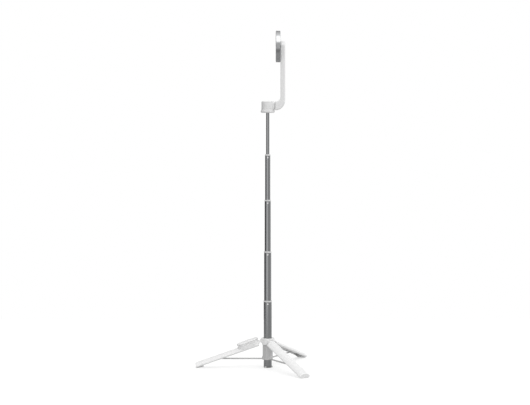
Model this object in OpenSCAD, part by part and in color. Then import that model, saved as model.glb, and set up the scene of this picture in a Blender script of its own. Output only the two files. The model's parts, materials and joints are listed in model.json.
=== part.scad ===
/* [Telescoping pole] */
// Outside diameter of the outer tube
outer_tube_d = 14.5; // [13.5:0.1:16]
// Outside diameter of section 2
section_2_d = 12.8; // [12.6:0.1:12.9]
// Outside diameter of section 3
section_3_d = 11.0; // [10.8:0.1:11.1]
// Outside diameter of section 4
section_4_d = 9.3; // [9:0.1:9.4]
// Outside diameter of the top rod
top_rod_d = 5.9; // [5:0.1:7.4]
// Wall of the tubes
tube_wall = 0.45; // [0.35:0.01:0.5]
// Wall of the top rod
rod_wall = 0.8; // [0.5:0.05:1.2]
// Height of the top of the outer tube's collar above the floor
outer_tube_top = 121.6; // [116:0.2:140]
// Length of section 2 that shows when it is drawn out
section_2_reach = 89.1; // [60:0.1:95]
// Length of section 3 that shows when it is drawn out
section_3_reach = 92.7; // [60:0.1:93]
// Length of section 4 that shows when it is drawn out
section_4_reach = 81.6; // [60:0.1:90]
// Length of the top rod that shows when it is drawn out
rod_reach = 74.1; // [50:0.1:80]
// Height of the white collar at the top of each tube
collar_h = 2.6; // [1.6:0.1:4]
// How far each collar stands out from its tube
collar_lip = 0.25; // [0.1:0.05:0.6]
// Depth of the bush inside the tube, from the top of its collar
bush_depth = 12; // [9:0.5:16]
// Diameter of the bosses that hold a bush in its tube
boss_d = 2.7; // [2:0.1:3.4]
// Drop from the top of a collar to the middle of its bosses
boss_drop = 5.9; // [4.8:0.1:7]
// Height of the stop ring at the foot of each inner section
stop_ring_h = 6; // [4:0.5:10]
// Height of the foot cap that shows below the outer tube
foot_cap_h = 2.6; // [2:0.1:4]
// Radius that the stop tabs of the foot cap reach
tab_reach = 9.0; // [8.2:0.1:9.1]
// Width of a stop tab
tab_width = 3.0; // [2:0.1:4]
// Depth of the foot cap's plug in the outer tube
foot_plug_h = 9; // [6:0.5:12]

/* [Hub and sleeve] */
// Radius of the hub collar
hub_radius = 12.7; // [12.4:0.1:13]
// Drop from the leg hinges to the hub's lower face
hub_drop = 6.2; // [5.8:0.1:8]
// Rise from the leg hinges to the hub's upper face
hub_rise = 4.8; // [4.2:0.1:7]
// Bevel on the hub's upper and lower edges
hub_bevel = 0.5; // [0.3:0.1:1.1]
// Wall of the sleeve where it plugs into the hub
spigot_wall = 0.45; // [0.35:0.05:0.6]
// Length of the sleeve's spigot in the hub
spigot_h = 5; // [3:0.5:5]
// Radius of the guide sleeve
sleeve_radius = 9.2; // [8.9:0.05:9.2]
// Drop from the brace pivots to the sleeve's lower end
lug_drop = 1.6; // [1.4:0.05:1.8]
// Radial play between the sleeve and the tube
sleeve_play = 0.2; // [0.15:0.05:0.3]
// Width of the three grooves down the sleeve
groove_width = 1.4; // [0.8:0.1:2.4]
// Depth of the three grooves down the sleeve
groove_depth = 0.5; // [0.2:0.1:0.8]

/* [Legs] */
// Drop from the hinge's level to the floor at an open leg's tip, square to the leg
foot_depth = 6.35; // [5.5:0.05:7.5]
// Radius of the leg hinges from the pole's axis
hinge_radius = 11.2; // [11:0.05:11.5]
// Height of the leg hinges above the floor
hinge_height = 48.6; // [48.3:0.1:49]
// Diameter of the leg hinge pins
hinge_pin_d = 2; // [1.6:0.1:2.4]
// Radius of the knuckle at the top of a leg
knuckle_radius = 2.3; // [2:0.05:2.4]
// Width of the knuckle
knuckle_width = 6.6; // [5:0.1:7]
// Radius of the hub's ears round a hinge pin
ear_radius = 2.7; // [2.4:0.1:2.9]
// Width over a pair of ears
ears_width = 12; // [10.5:0.1:12.4]
// Outside radius of the folded legs
leg_radius = 13; // [12.8:0.05:13.4]
// Thickness of the leg's skin
leg_skin = 1.5; // [1.2:0.05:1.6]
// Radial depth of the rims along a leg's sides
rim_depth = 3.5; // [2.5:0.05:3.55]
// Angle that each rim covers round the pole's axis
rim_angle = 9; // [6:0.5:12]
// Gap between the folded legs
leg_gap = 0.3; // [0.2:0.05:0.6]
// Length of a leg from its hinge to the tip, along the floor when open
leg_reach = 118.9; // [114:0.1:126]
// Thickness of the wall at the leg's tip
tip_wall = 5; // [3.5:0.1:5.4]
// Lean of the face at an open leg's tip, outward at its top
tip_lean = 11; // [6:0.5:16]
// Depth of the tongue between knuckle and skin, inward from the hinge's level
tongue_depth = 1.2; // [0.6:0.1:1.6]
// How far the tongue and the root lie below the skin
tongue_step = 0.2; // [0.1:0.05:0.4]
// Width of the leg's root, which reaches up into a notch of the hub
root_width = 15; // [12.8:0.1:15.4]
// Length of the rubber foot pad along the leg
pad_length = 12; // [9:0.1:14]
// Slope of the pad's heel against the floor
pad_heel_angle = 9; // [6:0.5:12]
// Length of the pad's flat that stands on the floor
pad_flat = 4.4; // [3.4:0.1:5.4]

/* [Brace wires] */
// Diameter of a brace wire
wire_d = 2.2; // [1.6:0.1:2.4]
// Diameter of the cross bars at its ends
cross_bar_d = 1.5; // [1.2:0.1:1.6]
// Radius of the brace pivots from the pole's axis
brace_pivot_r = 9.4; // [9.2:0.05:9.5]
// Depth of the outer cross bar in an open leg, inward from the hinge's level
bar_depth = 2.5; // [2:0.1:3]
// Length of a brace from its pivot to its outer cross bar
brace_length = 86.3; // [84:0.1:87]
// Length of the cross bar in the sleeve's lugs
inner_bar_w = 5.2; // [4:0.1:5.4]
// Length of the cross bar in the leg
outer_bar_w = 8; // [5:0.1:9]
// Radius of the lugs that carry a brace
lug_radius = 1.4; // [1.2:0.05:1.45]
// Thickness of the hooks in a leg
hook_thick = 2.5; // [1.5:0.1:4]
// Width of a hook in a leg
hook_width = 2.6; // [1.5:0.1:3]
// How far a hook reaches past the cross bar's middle
hook_lip = 1; // [0.6:0.1:1.1]
// Height of the web above a lug
lug_web_h = 6; // [3:0.2:9]

/* [Remote] */
// Length of the remote
remote_length = 40; // [36:0.5:44]
// Width of the remote
remote_width = 21; // [16:0.2:21.6]
// Thickness of the remote
remote_thick = 7; // [6.8:0.1:8]
// Height of the round crown on the remote's cover
remote_crown = 2.6; // [1.5:0.1:2.7]
// Distance of the remote's upper end from the leg's hinge
remote_start = 4.5; // [4.2:0.1:8]
// Height of the cradle's seat above the leg's crest
cradle_rise = 0.8; // [0.8:0.1:2]
// How far the cradle stays inside the remote's outline
cradle_inset = 0.4; // [0.2:0.1:1]
// Height of the remote's lower shell
remote_base_h = 3.6; // [3.5:0.1:4]
// Wall of the remote's shells
remote_wall = 1; // [0.8:0.05:1.3]
// Thickness of the remote's circuit board
board_thick = 0.8; // [0.6:0.1:1]
// Diameter of the coin cell
cell_d = 11; // [9:0.5:12]
// Thickness of the coin cell
cell_thick = 1.6; // [1.2:0.1:1.8]
// Diameter of the shutter button
button_d = 9; // [6:0.2:11]
// Thickness of the flange that keeps the button in
button_flange_t = 0.8; // [0.5:0.05:0.9]
// How far the button stands above the remote
button_rise = 0.6; // [0.4:0.1:1]

/* [Head] */
// Radius of the flange on top of the rod
flange_radius = 12.5; // [11.5:0.1:12.8]
// Height of the flange
flange_h = 7; // [6:0.1:8]
// Bevel on the flange's lower edge
flange_bevel = 1.2; // [0.4:0.1:1.6]
// Height of the flange's upright edge, between its bevel and its cone
flange_edge_h = 1.4; // [0.8:0.1:2]
// Depth of the rod's socket in the flange
rod_socket = 4; // [3:0.1:4.5]
// Radius of the turret
turret_radius = 11.2; // [10:0.1:11.6]
// Height of the turret
turret_h = 13.3; // [13:0.1:15]
// Height of the arm's axis above the turret's foot
neck_rise = 5.1; // [4.8:0.1:5.6]
// Thickness of the cap on the turret
turret_cap_h = 1.4; // [0.8:0.1:1.8]
// Width of the seam round the turret
seam_width = 0.4; // [0.2:0.05:0.6]
// Height of the seam above the turret's foot
seam_rise = 4.1; // [3:0.1:5]
// Diameter of the pan spindle
spindle_d = 5; // [4:0.1:5.4]
// Diameter of the spindle's head
spindle_head_d = 9; // [8:0.1:10]
// Thickness of the pan washer
pan_washer_t = 0.3; // [0.2:0.05:0.6]

/* [Arm] */
// Distance from the pole's axis to the arm's end face
arm_start = 13.4; // [13.2:0.05:14]
// Distance from the pole's axis to the arm's inner face
arm_inner = 22.85; // [22.8:0.05:24]
// Thickness of the arm's upright
arm_thick = 8.2; // [7:0.1:10]
// Width of the arm
arm_width = 20; // [17:0.2:22]
// Height of the arm's foot, from its lower to its upper face
arm_foot_h = 15.9; // [15:0.1:18]
// Radius of the arm's outer bend
bend_outer = 17.7; // [15:0.1:17.7]
// Radius of the arm's inner bend
bend_inner = 7.4; // [5:0.1:8]
// Height of the disc's centre above the arm's axis
disc_rise = 105.3; // [96:0.1:112]
// Diameter of the arm's axle
axle_d = 6; // [5:0.1:6.4]
// How far the axle reaches into the arm
axle_reach = 9; // [6:0.5:11]
// Radius of the neck boss on the turret
neck_radius = 4.7; // [3.8:0.1:4.8]
// Thickness of the neck washer
neck_washer_t = 1.6; // [0.8:0.05:1.7]
// Radius of the neck washer
neck_washer_r = 6.1; // [4.8:0.1:6.2]

/* [Magnetic disc] */
// Diameter of the magnetic disc
disc_d = 56; // [50:0.5:60]
// Distance from the pole's axis to the disc's face
disc_face = 14.2; // [14:0.05:14.4]
// How far the face pad stands out of the housing
pad_proud = 0.4; // [0.2:0.05:0.8]
// Wall of the disc's housing
disc_wall = 1.8; // [1.4:0.1:2.2]
// Thickness of the face pad
face_pad_t = 2.2; // [1.6:0.1:2.4]
// Thickness of the magnets
magnet_t = 2.6; // [2:0.1:2.8]
// Radial width of the magnets
magnet_w = 6.5; // [4:0.1:8]
// Number of magnets in the ring
magnet_count = 16; // [12:1:20]
// Thickness of the steel yoke behind the magnets
yoke_t = 1; // [0.6:0.1:1.2]
// Radius of the boss on the disc's back
disc_boss_r = 7.5; // [6:0.1:9]
// Height of the boss on the disc's back
disc_boss_h = 0.5; // [0.3:0.05:0.6]
// Gap between the disc's boss and the arm
disc_gap = 0.25; // [0.2:0.05:0.5]
// Diameter of the disc's pivot stud
stud_d = 5; // [4:0.1:6]
// Diameter of the stud's head
stud_head_d = 9; // [7:0.1:10]
// Thickness of the stud's head
stud_head_t = 1.2; // [1:0.1:1.4]

/* [Hidden] */
$fn = 64;
// Radial play of parts that turn or slide on each other
running_fit = 0.05;
// Gap between parts that pass without touching
clear_gap = 0.3;
// Overlap used where one solid is cut from another
cut_over = 1;

leg_azimuths = [180, -60, 60];
groove_azimuths = [0, 120, -120];
boss_azimuths = [90, -90];

// Outside radii of the four tubes and the rod, from the outermost in
tube_radii = [outer_tube_d / 2, section_2_d / 2, section_3_d / 2, section_4_d / 2, top_rod_d / 2];
// Heights of the collar tops
collar_tops = [
    outer_tube_top,
    outer_tube_top + section_2_reach,
    outer_tube_top + section_2_reach + section_3_reach,
    outer_tube_top + section_2_reach + section_3_reach + section_4_reach
];
flange_bottom = collar_tops[3] + rod_reach;
flange_top = flange_bottom + flange_h;

tube_r = tube_radii[0];
sleeve_bore_r = tube_r + sleeve_play;
spigot_r = sleeve_bore_r + spigot_wall;
hub_bottom = hinge_height - hub_drop;
hub_top = hinge_height + hub_rise;
grip_bottom = hub_bottom + spigot_h + clear_gap;
slot_width = knuckle_width + 2 * clear_gap;
slot_floor = hinge_radius - knuckle_radius - clear_gap;
slot_top = hinge_height + knuckle_radius + clear_gap;

// Angle of an open leg from the upright, at which its foot stands on the floor
leg_open_angle = atan2(leg_reach, hinge_height) + asin(foot_depth / norm([leg_reach, hinge_height]));
// Half of the angle that a leg covers round the pole's axis
leg_half_angle = 180 / len(leg_azimuths) - asin(leg_gap / 2 / leg_radius);
cavity_r = leg_radius - leg_skin;
rim_inner_r = leg_radius - rim_depth;
shell_start = hub_drop + clear_gap;
root_start = ear_radius + 2 * clear_gap;
// Where the tip's face meets the hinge's level, along the leg
leg_tip = leg_reach / sin(leg_open_angle);
leg_slope = 90 - leg_open_angle;
// Longest distance along the leg, at the tip's lower edge
leg_end = leg_tip + foot_depth / tan(leg_open_angle) + cut_over;
tip_wall_start = leg_tip - tip_wall;
pad_start = leg_tip - pad_length;
// Distance from the folded pole's axis to the flat that the foot pad sits on
pad_seat = rim_inner_r * cos(leg_half_angle);
pad_half_w = (pad_seat - leg_gap) * tan(leg_half_angle);
// Distance of the brace's outer cross bar from the leg's hinge along the floor
bar_reach = brace_pivot_r + brace_length - hinge_radius;
// Height of the brace pivots, level with the outer cross bar in an open leg
brace_pivot_z = hinge_height - (bar_depth + bar_reach * cos(leg_open_angle)) / sin(leg_open_angle);
// Distance of the outer cross bar from the hinge along the leg
bar_run = bar_reach * sin(leg_open_angle) + (hinge_height - brace_pivot_z) * cos(leg_open_angle);
hook_start = bar_run - cross_bar_d / 2 - clear_gap;

sleeve_bottom = brace_pivot_z - lug_drop;
lug_slot = wire_d + 2 * clear_gap;
lug_slot_floor = brace_pivot_r - wire_d / 2 - clear_gap;

seat_rise = leg_radius - hinge_radius + cradle_rise;
remote_seat = seat_rise + running_fit;
remote_mid = remote_start + remote_length / 2;
board_level = remote_base_h - board_thick;
crown_r = (pow(remote_width / 2, 2) + pow(remote_crown, 2)) / (2 * remote_crown);
button_flange_r = button_d / 2 + remote_wall;
// How far the crown's inner face falls over the button's flange
crown_fall = crown_r - remote_wall - sqrt(pow(crown_r - remote_wall, 2) - pow(button_flange_r, 2));

turret_bottom = flange_top + pan_washer_t;
turret_top = turret_bottom + turret_h;
neck_z = turret_bottom + neck_rise;
spindle_head_z = turret_bottom + neck_rise + axle_d / 2 + clear_gap;
cap_bottom = turret_top - turret_cap_h;
neck_end = arm_start - neck_washer_t - 2 * running_fit;
arm_outer = arm_inner + arm_thick;
arm_bottom = neck_z - arm_foot_h / 2;
arm_foot_top = neck_z + arm_foot_h / 2;
disc_z = neck_z + disc_rise;

disc_r = disc_d / 2;
disc_back = arm_inner - disc_gap - disc_boss_h;
disc_open = disc_face + pad_proud;
disc_floor = disc_face + face_pad_t + magnet_t + yoke_t;
cup_r = disc_r - disc_wall;
magnet_outer = cup_r - clear_gap;

// A ring or sleeve standing on the pole's axis
module ring(outer_r, inner_r, low, high) {
    translate([0, 0, low]) difference() {
        cylinder(r = outer_r, h = high - low);
        translate([0, 0, -cut_over]) cylinder(r = inner_r, h = high - low + 2 * cut_over);
    }
}

// A bar along Y, centred on the origin
module cross_bar(bar_r, width) {
    rotate([90, 0, 0]) cylinder(r = bar_r, h = width, center = true);
}

// A bar along +X from the origin
module bar_x(bar_r, length) {
    rotate([0, 90, 0]) cylinder(r = bar_r, h = length);
}

// Part of a revolved rectangle, centred on +X
module sector(inner_r, outer_r, low, high, from_angle, to_angle) {
    rotate([0, 0, from_angle]) rotate_extrude(angle = to_angle - from_angle)
        translate([inner_r, low]) square([outer_r - inner_r, high - low]);
}

// A plate with round ends along X, standing on the XY plane
module stadium(length, width, height) {
    straight = length - width;
    translate([-straight / 2, -width / 2, 0]) cube([straight, width, height]);
    for (side = [-1, 1]) translate([side * straight / 2, 0, 0]) cylinder(d = width, h = height);
}

// Such a plate under a round crown
module crowned_plate(length, width, height, radius) {
    intersection() {
        stadium(length, width, height);
        translate([-length, 0, height - radius]) bar_x(radius, 2 * length);
    }
}

// The open place of leg number i: origin on its hinge, +X outward, -Z along the leg
module at_leg(i) {
    rotate([0, 0, leg_azimuths[i - 1]]) translate([hinge_radius, 0, hinge_height])
        rotate([0, -leg_open_angle, 0]) children();
}

// The remote's place on leg 1: X along the leg, +Z away from it, on the cradle's seat
module at_remote(level) {
    at_leg(1) translate([level, 0, -remote_mid]) rotate([0, 90, 0]) children();
}

// The arm's foot and upright seen from the side, as a solid of the given width
module arm_side(width) {
    height = disc_z - arm_bottom;
    difference() {
        translate([arm_start, -width / 2, arm_bottom]) cube([arm_outer - arm_start, width, height]);
        difference() {
            translate([arm_outer - bend_outer, -width, arm_bottom - cut_over])
                cube([bend_outer + cut_over, 2 * width, bend_outer + cut_over]);
            translate([arm_outer - bend_outer, 0, arm_bottom + bend_outer])
                cross_bar(bend_outer, 3 * width);
        }
        arm_corner(width);
    }
}

// The space inside the arm's bend
module arm_corner(width) {
    corner_x = arm_inner - bend_inner;
    corner_z = arm_foot_top + bend_inner;
    left = arm_start - cut_over;
    translate([left, -width, corner_z]) cube([arm_inner - left, 2 * width, disc_z]);
    translate([left, -width, arm_foot_top]) cube([corner_x - left, 2 * width, disc_z]);
    translate([corner_x, 0, corner_z]) cross_bar(bend_inner, 2 * width);
}

// One tube of the pole, with holes for its bush's bosses
module pole_tube(i, bottom, top) {
    radius = tube_radii[i];
    difference() {
        ring(radius, radius - tube_wall, bottom, top - collar_h);
        for (a = boss_azimuths) rotate([0, 0, a]) translate([0, 0, top - boss_drop])
            bar_x(boss_d / 2, radius + cut_over);
    }
}

// The bush in the top of one tube: a collar on the end, a skirt inside and two bosses flush with the wall
module pole_bush(i, top) {
    radius = tube_radii[i];
    skirt_r = radius - tube_wall;
    bore_r = tube_radii[i + 1] + running_fit;
    difference() {
        union() {
            translate([0, 0, top - collar_h]) cylinder(r = radius + collar_lip, h = collar_h);
            translate([0, 0, top - bush_depth]) cylinder(r = skirt_r, h = bush_depth);
            intersection() {
                for (a = boss_azimuths) rotate([0, 0, a]) translate([0, 0, top - boss_drop])
                    bar_x(boss_d / 2, radius + cut_over);
                translate([0, 0, top - bush_depth]) cylinder(r = radius, h = bush_depth);
            }
        }
        translate([0, 0, top - bush_depth - cut_over])
            cylinder(r = bore_r, h = bush_depth + 2 * cut_over);
    }
}

// Height of the lower end of inner section i, drawn out
function section_bottom(i) = collar_tops[i - 1] - bush_depth - clear_gap - stop_ring_h;

// The ring round the foot of inner section i that runs in the tube outside it
module stop_ring(i) {
    low = section_bottom(i);
    ring(tube_radii[i - 1] - tube_wall - running_fit, tube_radii[i], low, low + stop_ring_h);
}

module hub_collar() {
    edge_r = hub_radius - hub_bevel;
    notch_width = root_width + 2 * clear_gap;
    color("white") difference() {
        union() {
            rotate_extrude() polygon([
                [spigot_r, hub_bottom], [edge_r, hub_bottom], [hub_radius, hub_bottom + hub_bevel],
                [hub_radius, hub_top - hub_bevel], [edge_r, hub_top], [spigot_r, hub_top]
            ]);
            for (a = leg_azimuths) rotate([0, 0, a]) translate([hinge_radius, 0, hinge_height])
                cross_bar(ear_radius, ears_width);
        }
        for (a = leg_azimuths) rotate([0, 0, a]) {
            translate([slot_floor, -slot_width / 2, hub_bottom - cut_over])
                cube([2 * hub_radius, slot_width, slot_top - hub_bottom + cut_over]);
            translate([hinge_radius, 0, hinge_height]) cross_bar(hinge_pin_d / 2, 2 * ears_width);
            difference() {
                translate([0, -notch_width / 2, hub_bottom - cut_over])
                    cube([2 * hub_radius, notch_width, hub_drop - root_start + clear_gap + cut_over]);
                cylinder(r = cavity_r - tongue_step - clear_gap, h = hub_top);
            }
        }
        translate([0, 0, hub_bottom - cut_over])
            cylinder(r = spigot_r, h = hub_top - hub_bottom + 2 * cut_over);
    }
}

// The lug on the sleeve that carries one brace, with a web tapering up to the sleeve
module brace_lug() {
    web_top = brace_pivot_z + lug_web_h;
    difference() {
        union() {
            translate([brace_pivot_r, 0, brace_pivot_z]) cross_bar(lug_radius, inner_bar_w);
            translate([0, inner_bar_w / 2, 0]) rotate([90, 0, 0]) linear_extrude(inner_bar_w) polygon([
                [spigot_r, sleeve_bottom], [brace_pivot_r, sleeve_bottom],
                [brace_pivot_r + lug_radius, brace_pivot_z], [sleeve_radius - clear_gap, web_top],
                [spigot_r, web_top]
            ]);
        }
        translate([0, 0, sleeve_bottom - cut_over]) cylinder(r = spigot_r, h = 2 * lug_web_h + cut_over);
    }
}

module guide_sleeve() {
    lug_slot_h = brace_pivot_z - sleeve_bottom + wire_d / 2 + clear_gap;
    color("silver") difference() {
        union() {
            ring(sleeve_radius, sleeve_bore_r, sleeve_bottom, hub_bottom);
            ring(spigot_r, sleeve_bore_r, hub_bottom - cut_over, hub_bottom + spigot_h);
            for (a = leg_azimuths) rotate([0, 0, a]) brace_lug();
        }
        for (a = leg_azimuths) rotate([0, 0, a]) {
            translate([lug_slot_floor, -lug_slot / 2, sleeve_bottom - cut_over])
                cube([lug_slot_floor, lug_slot, lug_slot_h + cut_over]);
            translate([brace_pivot_r, 0, brace_pivot_z])
                cross_bar(cross_bar_d / 2 + running_fit, inner_bar_w + cut_over);
        }
        for (a = groove_azimuths) rotate([0, 0, a])
            translate([sleeve_radius - groove_depth, -groove_width / 2, sleeve_bottom - cut_over])
                cube([groove_depth + cut_over, groove_width, hub_bottom - sleeve_bottom]);
    }
}

module grip_bush() {
    color("dimgray") ring(spigot_r, tube_r + running_fit, grip_bottom, hub_top - hub_bevel);
}

module hinge_pin(i) {
    color("silver") rotate([0, 0, leg_azimuths[i - 1]]) translate([hinge_radius, 0, hinge_height])
        cross_bar(hinge_pin_d / 2, ears_width - clear_gap);
}

// The long channel of a leg: a third of a round bar, hollowed out between its rims up to the tip's wall
module leg_channel() {
    side_slope = tan(leg_half_angle);
    bar_length = leg_end - shell_start;
    translate([-hinge_radius, 0, 0]) difference() {
        translate([0, 0, -leg_end]) intersection() {
            cylinder(r = leg_radius, h = bar_length);
            linear_extrude(bar_length) polygon([
                [pad_seat, -pad_seat * side_slope], [2 * leg_radius, -2 * leg_radius * side_slope],
                [2 * leg_radius, 2 * leg_radius * side_slope], [pad_seat, pad_seat * side_slope]
            ]);
        }
        translate([0, 0, -tip_wall_start]) cylinder(r = rim_inner_r, h = leg_end);
        sector(rim_inner_r - cut_over, cavity_r, -tip_wall_start, cut_over - shell_start,
            rim_angle - leg_half_angle, leg_half_angle - rim_angle);
    }
}

// The two hooks inside a leg that the brace's outer cross bar pulls against
module brace_hooks() {
    hook_height = bar_depth + hook_lip + leg_radius - hinge_radius - leg_skin / 2;
    for (y = [-lug_slot / 2 - hook_width, lug_slot / 2]) translate([-bar_depth - hook_lip, y, -hook_start])
        cube([hook_height, hook_width, hook_thick]);
}

// What lies beyond the leaning face at an open leg's tip
module beyond_tip() {
    translate([0, 0, -leg_tip]) rotate([0, tip_lean - leg_slope, 0])
        translate([-2 * leg_radius, -2 * leg_radius, -4 * leg_radius]) cube(4 * leg_radius);
}

module leg_shell(i) {
    color("white") at_leg(i) difference() {
        union() {
            leg_channel();
            brace_hooks();
            cross_bar(knuckle_radius, knuckle_width);
            intersection() {
                translate([-hinge_radius, 0, 0])
                    sector(hinge_radius - tongue_depth, leg_radius - tongue_step,
                        -shell_start - leg_skin, 0, -leg_half_angle, leg_half_angle);
                cube([4 * leg_radius, knuckle_width, 4 * leg_radius], center = true);
            }
            intersection() {
                translate([-hinge_radius, 0, 0])
                    sector(cavity_r - tongue_step, leg_radius - tongue_step,
                        -shell_start - leg_skin, -root_start, -leg_half_angle, leg_half_angle);
                cube([4 * leg_radius, root_width, 4 * leg_radius], center = true);
            }
        }
        beyond_tip();
        cross_bar(hinge_pin_d / 2 + running_fit, 2 * knuckle_width);
    }
}

// The space under the floor plane that an open leg stands on, and under the pad's heel
module under_pad() {
    reach = 4 * leg_radius;
    tip_z = -(leg_tip + foot_depth / tan(leg_open_angle));
    translate([-foot_depth, 0, tip_z]) rotate([0, -leg_slope, 0]) {
        translate([-reach, -reach, -reach]) cube([reach, 2 * reach, 3 * reach]);
        translate([0, 0, pad_flat]) rotate([0, pad_heel_angle, 0]) translate([-reach, -reach, 0])
            cube([reach, 2 * reach, reach]);
    }
}

module foot_pad(i) {
    color("gray") at_leg(i) difference() {
        translate([-hinge_radius, 0, -leg_end]) linear_extrude(leg_end - pad_start) polygon([
            [leg_gap, 0], [pad_seat, -pad_half_w], [pad_seat, pad_half_w]
        ]);
        beyond_tip();
        under_pad();
    }
}

module brace_wire(i) {
    color("silver") rotate([0, 0, leg_azimuths[i - 1]]) translate([brace_pivot_r, 0, brace_pivot_z]) {
        bar_x(wire_d / 2, brace_length);
        cross_bar(cross_bar_d / 2, inner_bar_w);
        translate([brace_length, 0, 0]) cross_bar(cross_bar_d / 2, outer_bar_w);
    }
}

module remote_cradle() {
    depth = cradle_rise + leg_radius - sqrt(pow(leg_radius, 2) - pow(remote_width / 2, 2));
    color("white") difference() {
        at_remote(seat_rise - depth)
            stadium(remote_length - 2 * cradle_inset, remote_width - 2 * cradle_inset, depth);
        at_leg(1) translate([-hinge_radius, 0, -leg_end]) cylinder(r = leg_radius, h = 2 * leg_end);
    }
}

module remote_base() {
    color("white") at_remote(remote_seat) difference() {
        stadium(remote_length, remote_width, remote_base_h);
        translate([0, 0, remote_wall])
            stadium(remote_length - 2 * remote_wall, remote_width - 2 * remote_wall, remote_base_h);
    }
}

module remote_cover() {
    cover_h = remote_thick - remote_base_h;
    color("white") at_remote(remote_seat + remote_base_h) difference() {
        crowned_plate(remote_length, remote_width, cover_h, crown_r);
        translate([0, 0, -cut_over])
            crowned_plate(remote_length - 2 * remote_wall, remote_width - 2 * remote_wall,
                cover_h - remote_wall + cut_over, crown_r - remote_wall);
        translate([0, 0, -cut_over]) cylinder(d = button_d + 2 * running_fit, h = cover_h + 2 * cut_over);
    }
}

module remote_board() {
    color("green") at_remote(remote_seat + board_level)
        stadium(remote_length - 2 * remote_wall, remote_width - 2 * remote_wall, board_thick);
}

module remote_cell() {
    color("silver") at_remote(remote_seat + remote_wall) cylinder(d = cell_d, h = cell_thick);
}

module shutter_button() {
    flange_level = remote_thick - remote_wall - crown_fall - running_fit - button_flange_t;
    color("gainsboro") at_remote(remote_seat + flange_level) {
        cylinder(r = button_flange_r, h = button_flange_t);
        cylinder(d = button_d, h = remote_thick + button_rise - flange_level);
    }
}

module outer_tube() {
    color("dimgray") pole_tube(0, foot_cap_h, outer_tube_top);
}

module pole_foot() {
    color("lightgray") {
        cylinder(r = tube_r, h = foot_cap_h);
        cylinder(r = tube_r - tube_wall, h = foot_cap_h + foot_plug_h);
        for (a = groove_azimuths) rotate([0, 0, a]) translate([0, -tab_width / 2, 0])
            cube([tab_reach, tab_width, foot_cap_h]);
    }
}

module outer_bush() {
    color("white") pole_bush(0, collar_tops[0]);
}

module section_tube(i) {
    color("dimgray") pole_tube(i, section_bottom(i), collar_tops[i]);
}

module section_bush(i) {
    color("white") pole_bush(i, collar_tops[i]);
}

module section_stop(i) {
    color("lightgray") stop_ring(i);
}

module top_rod() {
    rod_r = tube_radii[4];
    color("dimgray") ring(rod_r, rod_r - rod_wall, section_bottom(4), flange_bottom + rod_socket);
}

module rod_stop() {
    color("lightgray") stop_ring(4);
}

module head_flange() {
    color("white") difference() {
        rotate_extrude() polygon([
            [0, flange_bottom], [flange_radius - flange_bevel, flange_bottom],
            [flange_radius, flange_bottom + flange_bevel],
            [flange_radius, flange_bottom + flange_bevel + flange_edge_h],
            [turret_radius, flange_top], [0, flange_top]
        ]);
        translate([0, 0, flange_bottom - cut_over]) cylinder(d = top_rod_d, h = rod_socket + cut_over);
        translate([0, 0, flange_bottom + rod_socket]) cylinder(d = spindle_d, h = flange_h);
    }
}

module pan_spindle() {
    foot = flange_bottom + rod_socket;
    color("silver") translate([0, 0, foot]) {
        cylinder(d = spindle_d, h = spindle_head_z - foot);
        translate([0, 0, spindle_head_z - foot])
            cylinder(d = spindle_head_d, h = cap_bottom - spindle_head_z - clear_gap);
    }
}

module pan_washer() {
    color("dimgray")
        ring(turret_radius - flange_bevel, spindle_d / 2, flange_top, turret_bottom - running_fit);
}

module head_turret() {
    color("white") difference() {
        union() {
            translate([0, 0, turret_bottom]) cylinder(r = turret_radius, h = cap_bottom - turret_bottom);
            translate([0, 0, neck_z]) bar_x(neck_radius, neck_end);
        }
        translate([0, 0, turret_bottom - cut_over])
            cylinder(d = spindle_d + 2 * running_fit, h = 2 * turret_h);
        translate([0, 0, spindle_head_z - running_fit])
            cylinder(d = spindle_head_d + 2 * clear_gap, h = turret_h);
        translate([spindle_d / 2 + clear_gap, 0, neck_z]) bar_x(axle_d / 2, 2 * arm_start);
        translate([0, 0, turret_bottom + seam_rise]) difference() {
            cylinder(r = 2 * turret_radius, h = seam_width);
            cylinder(r = turret_radius - seam_width, h = seam_width);
            translate([turret_radius - seam_width, -turret_radius, -cut_over])
                cube([2 * turret_radius, 2 * turret_radius, 2 * cut_over]);
        }
    }
}

module turret_cap() {
    edge = turret_cap_h / 2;
    color("white") translate([0, 0, cap_bottom]) rotate_extrude() polygon([
        [0, 0], [turret_radius, 0], [turret_radius, edge],
        [turret_radius - edge, turret_cap_h], [0, turret_cap_h]
    ]);
}

module arm_axle() {
    start = spindle_d / 2 + clear_gap;
    color("silver") translate([start, 0, neck_z]) bar_x(axle_d / 2, arm_start + axle_reach - start);
}

module neck_washer() {
    color("gainsboro") translate([neck_end, 0, neck_z]) difference() {
        bar_x(neck_washer_r, neck_washer_t);
        translate([-cut_over, 0, 0]) bar_x(axle_d / 2, neck_washer_t + 2 * cut_over);
    }
}

module arm_body() {
    color("white") difference() {
        union() {
            arm_side(arm_width);
            translate([arm_inner, 0, disc_z]) bar_x(arm_width / 2, arm_thick);
        }
        translate([arm_start - cut_over, 0, neck_z])
            bar_x(axle_d / 2 + running_fit, axle_reach + cut_over + clear_gap);
        translate([arm_inner - cut_over, 0, disc_z]) bar_x(stud_d / 2, arm_thick / 2 + cut_over);
    }
}

module disc_stud() {
    head_x = disc_floor - stud_head_t - clear_gap;
    color("silver") translate([0, 0, disc_z]) {
        translate([head_x, 0, 0]) bar_x(stud_d / 2, arm_inner + arm_thick / 2 - head_x);
        translate([head_x, 0, 0]) bar_x(stud_head_d / 2, stud_head_t);
    }
}

// Turns a profile of radius and distance into a solid about the disc's axis
module about_disc() {
    translate([0, 0, disc_z]) rotate([0, 90, 0]) rotate_extrude() children();
}

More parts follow.
